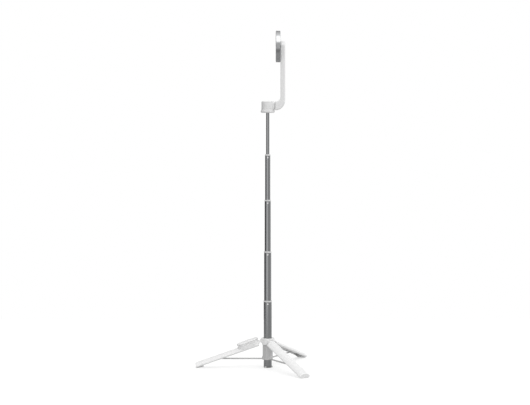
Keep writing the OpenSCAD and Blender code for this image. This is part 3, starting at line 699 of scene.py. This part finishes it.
TUBES = ["outer_tube", "section_2_tube", "section_3_tube", "section_4_tube", "top_rod"]
BUSHES = ["outer_bush", "section_2_bush", "section_3_bush", "section_4_bush"]
POLE_BODIES = ["pole", "section_2", "section_3", "section_4", "rod"]
for count, tube_node in enumerate(TUBES):
    pole_tube(count + 1, tube_node, POLE_BODIES[count])
for count, bush_node in enumerate(BUSHES):
    pole_bush(count + 1, bush_node, POLE_BODIES[count], TUBES[count], TUBES[count + 1])


def pole_foot():
    """The cap in the outer tube's lower end, and its three stop tabs."""
    radius = corner_high("outer_tube").x
    cap_top = corner_low("outer_tube").z
    plug = radius - TUBE_WALL
    top = corner_high("pole_foot").z
    reach = corner_high("pole_foot").x
    outline = [(0, 0), (radius, 0), (radius, cap_top), (plug, cap_top), (plug, top), (0, top)]
    cap = turned(outline, [(1, FOOT_ROUND)], closed=False)
    # The cap's dark colour is painted shade, not its own light grey
    piece("foot_cap", cap, "pole", foot_cap_shade, "light_grey_plastic", "pole_foot")
    tabs = []
    for third in range(3):
        tab = block((radius - TAB_SINK, -TAB_HALF, TAB_LIFT), (reach, TAB_HALF, cap_top), TAB_ROUND)
        tabs.append(place(tab, about_z(third * math.tau / 3)))
    piece("foot_tabs", joined(*tabs), "pole", foot_grey, "light_grey_plastic")


pole_foot()


# Hub of the tripod
def hub():
    """The collar with a slot, a notch and a pair of ears for each leg."""
    lip = HUB_LIP
    outline = [(HUB_BORE, HUB_LOW), (HUB_R - lip, HUB_LOW), (HUB_R, HUB_LOW + lip), (HUB_R, HUB_TOP - lip),
               (HUB_R - lip, HUB_TOP), (HUB_BORE, HUB_TOP)]
    ring = turned(outline, [(number, HUB_ROUND) for number in range(1, len(outline))])
    past = 2 * HUB_R
    reach = ROOT_HALF + CLEAR
    angle = math.asin(reach / NOTCH_R)
    notch_outline = arc(0, 0, NOTCH_R, -angle, angle, ROOT_STEPS) + [(past, reach), (past, -reach)]
    ears = []
    gaps = []
    for azimuth in LEG_AZIMUTHS.values():
        spin = about_z(azimuth)
        slot = box((SLOT_FLOOR, -SLOT_HALF, HUB_LOW - CUT_PAST), (SLOT_FLOOR + past, SLOT_HALF, SLOT_TOP))
        notch = prism(notch_outline, HUB_LOW - CUT_PAST, NOTCH_TOP)
        gaps += [place(slot, spin), place(notch, spin)]
        for side in (SLOT_HALF, -EAR_HALF):
            ear = place(rod(EAR_R, EAR_HALF - SLOT_HALF, EAR_ROUND, HINGE_STEPS), ALONG_Y)
            ears.append(place(ear, spin @ Matrix.Translation((HINGE_R, side, HINGE_Z))))
    piece("hub_ring", joined(cut(ring, *gaps), *ears), "hub", white_shell, "white_plastic", "hub_collar")


hub()


# Legs
def at_leg(number):
    """The open place of a leg: origin on its hinge, +X outward, -Z along the leg."""
    return (about_z(LEG_AZIMUTHS[number]) @ Matrix.Translation((HINGE_R, 0, HINGE_Z))
            @ Matrix.Rotation(-LEG_OPEN, 4, "Y"))


def leg_shell():
    """A third of a round bar, hollow from the hub to the wall at its tip."""
    bm = start()
    inner = LEG_HALF - RIM_ANGLE
    middle_r = LEG_R - CORNER_ROUND
    middle = LEG_HALF - math.asin(CORNER_ROUND / middle_r)
    corner = (middle_r * math.cos(middle), middle_r * math.sin(middle))
    square = LEG_HALF + math.pi / 2
    outside = (arc(corner[0], -corner[1], CORNER_ROUND, -square, -middle, CORNER_STEPS)
               + arc(0, 0, LEG_R, -middle, middle, SHELL_STEPS)[1:-1]
               + arc(*corner, CORNER_ROUND, middle, square, CORNER_STEPS))
    rims = [arc(0, 0, RIM_R, LEG_HALF, inner, RIM_STEPS), arc(0, 0, RIM_R, -inner, -LEG_HALF, RIM_STEPS)]
    inside = arc(0, 0, CAVITY_R, inner, -inner, CAVITY_STEPS)
    parts = [[bm.verts.new((x - HINGE_R, y, TIP_WALL - LEG_TIP)) for x, y in p]
             for p in (outside, rims[0], inside, rims[1])]
    section = bm.faces.new(sum(parts, []))
    wall = bm.faces.new(parts[1] + parts[2] + parts[3])
    draw_out(bm, [section], (0, 0, LEG_TIP - TIP_WALL - SHELL_START))
    draw_out(bm, [section, wall], (0, 0, -TIP_WALL - LEG_R))
    bmesh.ops.delete(bm, geom=[section], context="FACES_ONLY")
    normal = Vector((math.sin(LEG_SLOPE - TIP_LEAN), 0, -math.cos(LEG_SLOPE - TIP_LEAN)))
    tip = Vector((0, 0, -LEG_TIP))
    bmesh.ops.bisect_plane(bm, geom=bm.verts[:] + bm.edges[:] + bm.faces[:], plane_co=tip, plane_no=normal,
                           clear_outer=True, dist=SLICE)
    bmesh.ops.holes_fill(bm, edges=[e for e in bm.edges if len(e.link_faces) == 1], sides=0)
    bmesh.ops.recalc_face_normals(bm, faces=bm.faces)

    def on_tip(v):
        return abs((v.co - tip).dot(normal)) < NEAR

    def is_low(v):
        return v.co.x < PAD_SEAT - HINGE_R + NEAR

    outer = [e for e in bm.edges if all(map(on_tip, e.verts)) and not all(map(is_low, e.verts))]
    soften(bm, outer, TIP_ROUND, TIP_STEPS)
    return bm


def leg_root():
    """The narrower end of a leg's shell, which reaches into the hub's notch."""
    spread = math.asin(ROOT_HALF / LEG_R)
    inside = math.asin(ROOT_HALF / CAVITY_R)
    outline = (arc(0, 0, LEG_R, -spread, spread, ROOT_STEPS)
               + arc(0, 0, CAVITY_R, inside, -inside, ROOT_STEPS))
    bm = prism(outline, -SHELL_START - ROOT_SINK, -ROOT_START)
    soften(bm, [e for e in sharp_edges(bm) if all(v.co.z > -SHELL_START for v in e.verts)], ROOT_ROUND)
    return place(bm, Matrix.Translation((-HINGE_R, 0, 0)))


def leg(number):
    """A leg with its knuckle, its tongue, its root and the two hooks that hold the brace's outer bar."""
    half = KNUCKLE_W / 2
    knuckle = rod(KNUCKLE_R, KNUCKLE_W, KNUCKLE_ROUND, HINGE_STEPS)
    place(knuckle, Matrix.Translation((0, -half, 0)) @ ALONG_Y)
    tongue = block((TONGUE_UNDER, -half, -SHELL_START - LEG_SKIN), (TONGUE_OVER, half, 0), TONGUE_ROUND)
    shells = [leg_shell(), knuckle, tongue, leg_root()]
    hook_at = BAR_RUN - BAR_R - CLEAR
    for side in (-WIRE_R - CLEAR - HOOK_W, WIRE_R + CLEAR):
        low = (-BAR_DEPTH - HOOK_LIP, side, -hook_at)
        high = (LEG_R - HINGE_R - LEG_SKIN / 2, side + HOOK_W, HOOK_THICK - hook_at)
        shells.append(block(low, high, HOOK_ROUND))
    channel = place(joined(*shells), at_leg(number))
    piece(f"leg_{number}_channel", channel, f"leg_{number}", white_shell, "white_plastic",
          f"leg_shell_{number}")


def leg_pad(number):
    """The rubber pad: a merged copy of the CAD node with its sharp edges rounded."""
    node = f"foot_pad_{number}"
    bm = start()
    bm.from_mesh(frame["nodes"][node].data)
    bmesh.ops.scale(bm, vec=(1 / MM, 1 / MM, 1 / MM), verts=bm.verts)
    bmesh.ops.remove_doubles(bm, verts=bm.verts, dist=NEAR)
    bmesh.ops.dissolve_limit(bm, angle_limit=math.radians(1), verts=bm.verts, edges=bm.edges)
    soften(bm, sharp_edges(bm, PAD_SHARP), PAD_ROUND)
    piece(f"leg_{number}_pad", bm, f"leg_{number}", pad_rubber, "pad_rubber", node)


def brace(number):
    """A brace wire along X, with a cross bar at both ends."""
    shells = [place(rod(WIRE_COAT_R, BRACE_LENGTH, WIRE_ROUND), ALONG_X)]
    for width, reach in ((INNER_BAR, 0), (OUTER_BAR, BRACE_LENGTH)):
        bar = rod(BAR_R, width, BAR_ROUND)
        shells.append(place(bar, Matrix.Translation((reach, -width / 2, 0)) @ ALONG_Y))
    wire = joined(*shells)
    place(wire, about_z(LEG_AZIMUTHS[number]) @ Matrix.Translation((BRACE_R, 0, BRACE_Z)))
    piece(f"brace_{number}_wire", wire, f"brace_{number}", wire_coat, "wire_steel", f"brace_wire_{number}")


for make in (leg, leg_pad, brace):
    for leg_number in LEG_AZIMUTHS:
        make(leg_number)


# Remote on the left leg
def at_remote(level):
    """X along the leg, +Z away from it, at a level above the hinge line."""
    return (at_leg(1) @ Matrix.Translation((level, 0, -REMOTE_START - REMOTE_L / 2))
            @ Matrix.Rotation(math.pi / 2, 4, "Y"))


def pill_ring(bm, inset, height):
    """A ring with the remote's outline, drawn in by an inset."""
    radius = REMOTE_W / 2 - inset
    shift = (REMOTE_L - REMOTE_W) / 2
    points = (arc(shift, 0, radius, -math.pi / 2, math.pi / 2, PILL_STEPS)
              + arc(-shift, 0, radius, math.pi / 2, 3 * math.pi / 2, PILL_STEPS))
    verts = [bm.verts.new((x, y, height)) for x, y in points]
    return verts, [bm.edges.new((verts[k - 1], verts[k])) for k in range(len(verts))]


def lofted(rows):
    """A shell through rings of the remote's outline, and the face that closes its top."""
    bm = start()
    rings = [pill_ring(bm, inset, height) for inset, height in rows]
    for (_, lower), (_, upper) in zip(rings, rings[1:]):
        bmesh.ops.bridge_loops(bm, edges=lower + upper)
    bm.faces.new(rings[0][0])
    return bm, bm.faces.new(rings[-1][0])


def cradle():
    """The seat that the remote clips to, shaped over the leg's crown."""
    depth = LEG_R - math.sqrt(LEG_R ** 2 - (REMOTE_W / 2) ** 2) + CRADLE_RISE
    bm, _ = lofted([(CRADLE_RIM[0][0], -depth), *CRADLE_RIM])
    bmesh.ops.scale(bm, vec=(CRADLE_FLARE, 1, 1), verts=bm.verts)
    bmesh.ops.recalc_face_normals(bm, faces=bm.faces)
    place(bm, at_remote(REMOTE_SEAT - CRADLE_PLAY))
    crown = rod(LEG_R - CRADLE_PLAY, 2 * LEG_TIP, CRADLE_ROUND, CRADLE_STEPS)
    place(crown, at_leg(1) @ Matrix.Translation((-HINGE_R, 0, -LEG_TIP)))
    piece("remote_seat", cut(bm, crown), "leg_1", white_shell, "white_plastic", "remote_cradle")


cradle()


def let_fall(bm):
    """Lets everything above the seam's wall fall away to both sides and both ends."""
    for v in bm.verts:
        if v.co.z > REMOTE_SEAM + CROWN_RISE:
            past = max(0.0, abs(v.co.x) - REMOTE_L / 2 + END_SOFT) / END_SOFT
            v.co.z -= CROWN_R - math.sqrt(CROWN_R ** 2 - v.co.y ** 2) + END_FALL * past ** 2


def remote():
    """The remote's lower and upper halves, its lamp's window and its button."""
    seat = at_remote(REMOTE_SEAT)
    lower, _ = lofted(BASE_RINGS)
    bmesh.ops.recalc_face_normals(lower, faces=lower.faces)
    piece("remote_lower", place(lower, seat), "remote", white_shell, "white_plastic", "remote_base")

    upper, top_face = lofted(COVER_RINGS)
    for width in COVER_INSETS:
        bmesh.ops.inset_individual(upper, faces=[top_face], thickness=width, use_even_offset=True)
    let_fall(upper)
    bmesh.ops.recalc_face_normals(upper, faces=upper.faces)
    well = rod(BUTTON_R + WELL_PLAY, WELL_CUT, WELL_ROUND, BUTTON_STEPS)
    upper = cut(upper, place(well, Matrix.Translation((0, 0, REMOTE_T - WELL_DEPTH))))
    piece("remote_upper", place(upper, seat), "remote", white_shell, "white_plastic", "remote_cover")

    outline = [(0, REMOTE_T - WINDOW_SINK), (WINDOW_R, REMOTE_T - WINDOW_SINK),
               (WINDOW_R, REMOTE_T + WINDOW_EDGE), (0, REMOTE_T + WINDOW_RISE)]
    window = turned(outline, [(2, WINDOW_ROUND)], closed=False, steps=ROD_STEPS)
    place(window, seat @ Matrix.Translation((WINDOW_AT, 0, 0)))
    piece("remote_lamp", window, "remote", lamp_dark, "dark_washer")

    top = REMOTE_T + BUTTON_RISE
    outline = [(0, REMOTE_T - BUTTON_SINK), (BUTTON_R, REMOTE_T - BUTTON_SINK)]
    outline += [(BUTTON_R - inward, top - fall) for inward, fall in BUTTON_DISH]
    button = turned(outline, [(2, BUTTON_ROUND), (3, BUTTON_ROUND)], closed=False, steps=BUTTON_STEPS)
    piece("remote_button", place(button, seat), "button", button_grey, "light_grey_plastic",
          "shutter_button")


remote()


# Head
def neck_block(low, high):
    """A stretch of the neck along X, as tall as the arm's foot, with rounded sides."""
    bm = box((low, -NECK_HALF, NECK_Z - NECK_HALF), (high, NECK_HALF, NECK_Z + NECK_HALF))
    along = [e for e in bm.edges if abs(e.verts[0].co.x - e.verts[1].co.x) > NEAR]
    soften(bm, along, NECK_ROUND, NECK_STEPS)
    soften(bm, [e for e in bm.edges if all(abs(v.co.x - high) < NEAR for v in e.verts)], NECK_LIP)
    return bm


def head():
    """The flange on the rod, and the turret on it with its washer, neck and cap."""
    rod_r = corner_high("top_rod").x
    lip = FLANGE_BEVEL
    outline = [(rod_r, FLANGE_LOW), (FLANGE_R - lip, FLANGE_LOW), (FLANGE_R, FLANGE_LOW + lip),
               (FLANGE_R, FLANGE_LOW + lip + FLANGE_EDGE), (TURRET_R, FLANGE_TOP), (rod_r, FLANGE_TOP)]
    flange = turned(outline, FLANGE_ROUNDS)
    # The flange wears the darker copy of the white plastic, as painted shade
    piece("head_foot", flange, "rod", white_painted_shade, "white_plastic", "head_flange")

    low, high = corner_low("pan_washer").z, corner_high("pan_washer").z
    outline = [(WASHER_BORE, low), (WASHER_R, low), (WASHER_R, high), (WASHER_BORE, high)]
    washer = turned(outline, [(1, WASHER_ROUND), (2, WASHER_ROUND)])
    piece("pan_ring", washer, "head", pan_washer, "dark_washer", "pan_washer")

    seam = TURRET_LOW + SEAM_RISE
    groove = TURRET_R - TURRET_SEAM
    seam_top = seam + TURRET_SEAM
    outline = [(0, TURRET_LOW), (TURRET_R, TURRET_LOW), (TURRET_R, seam), (groove, seam),
               (groove, seam_top), (TURRET_R, seam_top), (TURRET_R, CAP_LOW), (0, CAP_LOW)]
    barrel = turned(outline, TURRET_ROUNDS, closed=False)
    neck = neck_block(0, NECK_END)
    piece("head_barrel", joined(barrel, neck), "head", white_shell, "white_plastic", "head_turret")

    low, high = corner_low("neck_washer").x, corner_high("neck_washer").x
    piece("neck_ring", neck_block(low, high), "head", neck_grey, "light_grey_plastic", "neck_washer")

    wall_top = CAP_LOW + CAP_WALL * (CAP_TOP - CAP_LOW)
    outline = [(0, CAP_LOW), (TURRET_R, CAP_LOW), (TURRET_R, wall_top),
               (TURRET_R - CAP_SHOULDER, CAP_TOP - CAP_FALL), (TURRET_R - CAP_FLAT, CAP_TOP), (0, CAP_TOP)]
    cap = turned(outline, CAP_ROUNDS, closed=False)
    piece("head_lid", cap, "head", white_shell, "white_plastic", "turret_cap")


head()


# Arm
def arm():
    """The bent arm, with a round upper end and softer edges on its outer side."""
    bm = start()
    back_x = ARM_HIGH.x
    top = DISC_Z + ARM_HALF
    bend_x = back_x - BEND_OUTER
    foot = -math.acos(max(0.0, ARM_LOW.x - bend_x) / BEND_OUTER)
    inner_x = ARM_INNER - BEND_INNER
    points = arc(bend_x, ARM_LOW.z + BEND_OUTER, BEND_OUTER, foot, 0, BEND_OUTER_STEPS)
    points += [(back_x, top), (ARM_INNER, top)]
    points += arc(inner_x, ARM_FOOT_TOP + BEND_INNER, BEND_INNER, 0, -math.pi / 2, BEND_INNER_STEPS)
    points += [(ARM_LOW.x, ARM_FOOT_TOP)]
    side = bm.faces.new([bm.verts.new((x, -ARM_HALF, z)) for x, z in points])
    draw_out(bm, [side], (0, 2 * ARM_HALF, 0))
    bmesh.ops.recalc_face_normals(bm, faces=bm.faces)
    crown = [e for e in bm.edges if all(abs(v.co.z - top) < WELD for v in e.verts)
             and abs(e.verts[0].co.y - e.verts[1].co.y) < WELD]
    bmesh.ops.bevel(bm, geom=crown, offset=ARM_HALF - ARM_FLAT, offset_type="OFFSET", affect="EDGES",
                    segments=ARM_TOP_STEPS, profile=0.5, material=-1)
    bmesh.ops.remove_doubles(bm, verts=bm.verts, dist=ARM_WELD)

    def on_end(v):
        return abs(v.co.x - ARM_LOW.x) < NEAR

    def on_inner(v):
        return abs(v.co.x - ARM_INNER) < NEAR or (
            v.co.x < ARM_INNER and v.co.z > NECK_Z) or abs(v.co.z - ARM_FOOT_TOP) < NEAR

    rims = [e for e in sharp_edges(bm, ARM_SHARP) if not all(map(on_end, e.verts))]
    inner = [e for e in rims if all(map(on_inner, e.verts))]
    outer = [e for e in rims if e not in inner]
    soften(bm, outer, ARM_ROUND, ARM_STEPS)
    soften(bm, [e for e in inner if e.is_valid], ARM_INNER_ROUND, ARM_INNER_STEPS)
    soften(bm, [e for e in sharp_edges(bm, ARM_SHARP) if all(map(on_end, e.verts))], ARM_END_ROUND)
    piece("arm_bar", bm, "arm", white_shell, "white_plastic", "arm_body")


arm()


# Magnetic disc
def disc():
    """The metal cup, open toward -X, and the soft face in it."""
    spot = Matrix.Translation((0, 0, DISC_Z)) @ ALONG_X
    edge = DISC_R - DISC_EDGE
    outline = [(0, DISC_FLOOR), (CUP_R, DISC_FLOOR), (CUP_R, DISC_OPEN), (edge, DISC_OPEN),
               (DISC_R, DISC_OPEN + DISC_EDGE), (DISC_R, DISC_BACK - DISC_EDGE), (edge, DISC_BACK),
               (DISC_BOSS_R, DISC_BACK), (DISC_BOSS_R, DISC_BOSS_X), (0, DISC_BOSS_X)]
    cup = turned(outline, DISC_ROUNDS, closed=False, steps=DISC_STEPS)
    piece("disc_cup", place(cup, spot), "disc", disc_metal, "disc_metal", "disc_housing")

    outline = [(radius, FACE_X + depth) for radius, depth in FACE_RINGS]
    outline += [(CUP_R, FACE_BACK), (0, FACE_BACK)]
    pad = turned(outline, FACE_ROUNDS, closed=False, steps=DISC_STEPS)
    piece("disc_face", place(pad, spot), "disc", white_face, "face_silicone", "face_pad")


disc()

# Finishes of the CAD nodes that show as they are
CARRIED = {
    "guide_sleeve": sleeve_grey, "grip_bush": bush_grey,
    "hinge_pin_1": inner_steel, "hinge_pin_2": inner_steel, "hinge_pin_3": inner_steel,
    "remote_board": board_green, "remote_cell": inner_steel,
    "section_2_stop": foot_grey, "section_3_stop": foot_grey, "section_4_stop": foot_grey,
    "rod_stop": foot_grey, "pan_spindle": inner_steel, "arm_axle": inner_steel, "disc_stud": inner_steel,
    "disc_washer": inner_steel, "disc_yoke": inner_steel, "magnet_ring": magnet_nickel,
}
for node_name, node_finish in CARRIED.items():
    frame["nodes"][node_name].material_slots[0].material = node_finish


# Stage: floor, light and camera, in metres
FLOOR_HALF = 0.6
FLOOR_DROP = 0.0002
FLOOR_GREY = 0.42
# The floor's own light to the camera, in mirrors, and as a pool round the pole that lifts the undersides
FLOOR_SEEN = 0.63
FLOOR_MIRRORED = 0.3
FLOOR_POOL = 0.37
POOL_INNER = 0.1
POOL_OUTER = 0.32
# The sky's light on plain surfaces: its level, its rise with height, its slant and bow from left to right
SKY_LEVEL = 0.85
SKY_RISE = 0.28
SKY_SLANT = 0.22
SKY_BOW = -0.26
# What metal mirrors: levels by bearing, from behind round the left side, by tilt, from the front
# over the top, and underneath
AROUND = [(0.0, 0.15), (0.12, 0.15), (0.28, 0.2), (0.36, 0.85), (0.44, 1.9), (0.5, 1.15), (0.56, 0.78),
          (0.66, 0.72), (0.77, 0.85), (0.87, 1.1), (1.0, 1.1)]
OVERHEAD = [(0.1, 1.0), (0.17, 1.3), (0.2, 3.6), (0.46, 3.6), (0.5, 1.9), (0.65, 1.6), (0.74, 1.0),
            (0.86, 0.4)]
UNDERNEATH = 0.5
# Heights between which one of these gives way to the next
UNDER_BAND = (-0.2, -0.4)
UPPER_BAND = (0.2, 0.45)
# Area lamps: name, place and power
LAMPS = [("key", (0.45, -0.8, 2.3), 7), ("fill", (1.6, -1.6, 1.0), 0.8)]
LAMP_AIM = (0, 0, 0.3)
LAMP_SIZE = 1.5
# The camera, matched to the photograph: focal length and width in pixels, place, and dip in degrees
FOCAL_PIXELS = 1791.1
PHOTO_PIXELS = 530
SENSOR = 36
CAMERA_AT = (-0.0049, -3.2, 0.5482)
CAMERA_DIP = 4.464


def levels(tree, value, stops):
    """A grey level read off between stops."""
    ramp = add(tree, "ValToRGB", {0: value})
    while len(ramp.color_ramp.elements) < len(stops):
        ramp.color_ramp.elements.new(0.5)
    for element, (at, level) in zip(ramp.color_ramp.elements, stops):
        element.position = at
        element.color = (level, level, level, 1)
    return ramp.outputs[0]


def blend(tree, share, first, second):
    """A value between two others."""
    return add(tree, "Mix", {SHARE: share, MIX_A: first, MIX_B: second}).outputs[0]


def paper_floor():
    """The white floor, which gives its own light and takes soft shadows."""
    mesh = bpy.data.meshes.new("floor")
    bm = bmesh.new()
    bmesh.ops.create_grid(bm, x_segments=1, y_segments=1, size=FLOOR_HALF)
    bmesh.ops.translate(bm, vec=(0, 0, -FLOOR_DROP), verts=bm.verts)
    bm.to_mesh(mesh)
    bm.free()
    floor = bpy.data.objects.new("floor", mesh)
    bpy.context.scene.collection.objects.link(floor)
    paper = bpy.data.materials.new("paper")
    paper.use_nodes = True
    tree = paper.node_tree
    tree.nodes.remove(tree.nodes["Principled BSDF"])
    ray = add(tree, "LightPath").outputs
    point = add(tree, "TexCoord").outputs["Object"]
    reach = add(tree, "VectorMath", {0: point}, operation="LENGTH").outputs["Value"]
    pool = add(tree, "MapRange", {"Value": reach, "From Min": POOL_INNER, "From Max": POOL_OUTER,
                                  "To Min": FLOOR_POOL, "To Max": 0.0},
               interpolation_type="SMOOTHSTEP").outputs[0]
    bounced = maths(tree, "MULTIPLY", ray["Is Diffuse Ray"], pool)
    mirrored = maths(tree, "MULTIPLY_ADD", ray["Is Glossy Ray"], FLOOR_MIRRORED, bounced)
    strength = maths(tree, "MULTIPLY_ADD", ray["Is Camera Ray"], FLOOR_SEEN, mirrored)
    glow = add(tree, "Emission", {"Strength": strength})
    matt = add(tree, "BsdfDiffuse", {"Color": grey(FLOOR_GREY)})
    both = add(tree, "AddShader", {0: glow.outputs[0], 1: matt.outputs[0]})
    tree.links.new(both.outputs[0], tree.nodes["Material Output"].inputs["Surface"])
    mesh.materials.append(paper)


def studio_sky():
    """A white backdrop to the camera, a soft dome to plain surfaces and a banded studio to mirrors."""
    world = bpy.data.worlds.new("studio")
    world.use_nodes = True
    bpy.context.scene.world = world
    tree = world.node_tree
    sky = tree.nodes["Background"].inputs
    sky["Color"].default_value = (1, 1, 1, 1)
    ray = add(tree, "LightPath").outputs
    straight = maths(tree, "MAXIMUM", ray["Is Camera Ray"], ray["Is Transmission Ray"])
    way = add(tree, "SeparateXYZ", {0: add(tree, "TexCoord").outputs["Generated"]}).outputs
    across, height = way["X"], way["Z"]
    front = maths(tree, "MULTIPLY", way["Y"], -1.0)
    bearing = maths(tree, "ARCTAN2", across, front)
    around = levels(tree, maths(tree, "MULTIPLY_ADD", bearing, 1 / math.tau, 0.5), AROUND)
    tilt = maths(tree, "ARCTAN2", height, front)
    overhead = levels(tree, maths(tree, "MULTIPLY", tilt, 1 / math.pi), OVERHEAD)
    under, upper = (
        add(tree, "MapRange", {"Value": height, "From Min": first, "From Max": last}).outputs[0]
        for first, last in (UNDER_BAND, UPPER_BAND))
    ring = blend(tree, under, around, UNDERNEATH)
    mirror = blend(tree, upper, ring, overhead)
    lean = maths(tree, "MULTIPLY_ADD", across, SKY_BOW, SKY_SLANT)
    slant = maths(tree, "MULTIPLY_ADD", across, lean, SKY_LEVEL)
    dome = maths(tree, "MULTIPLY_ADD", height, SKY_RISE, slant)
    shine = blend(tree, ray["Is Glossy Ray"], dome, mirror)
    tree.links.new(blend(tree, straight, shine, 1.0), sky["Strength"])


def lamp(name, at, power):
    """A square lamp aimed at the pole, which mirrors don't show."""
    light = bpy.data.lights.new(name, "AREA")
    light.size = LAMP_SIZE
    light.energy = power
    holder = bpy.data.objects.new(name, light)
    holder.location = at
    holder.rotation_euler = (Vector(LAMP_AIM) - Vector(at)).to_track_quat("-Z", "Y").to_euler()
    holder.visible_glossy = False
    bpy.context.scene.collection.objects.link(holder)


def photo_view():
    """The camera at the photograph's place."""
    eye = bpy.data.cameras.new("photo_view")
    eye.sensor_width = SENSOR
    eye.lens = FOCAL_PIXELS / PHOTO_PIXELS * eye.sensor_width
    camera = bpy.data.objects.new("photo_view", eye)
    camera.location = CAMERA_AT
    camera.rotation_euler = (math.radians(90 - CAMERA_DIP), 0, 0)
    bpy.context.scene.collection.objects.link(camera)
    bpy.context.scene.camera = camera
    bpy.context.scene.view_settings.view_transform = "Standard"


paper_floor()
studio_sky()
for lamp_name, lamp_at, lamp_power in LAMPS:
    lamp(lamp_name, lamp_at, lamp_power)
photo_view()
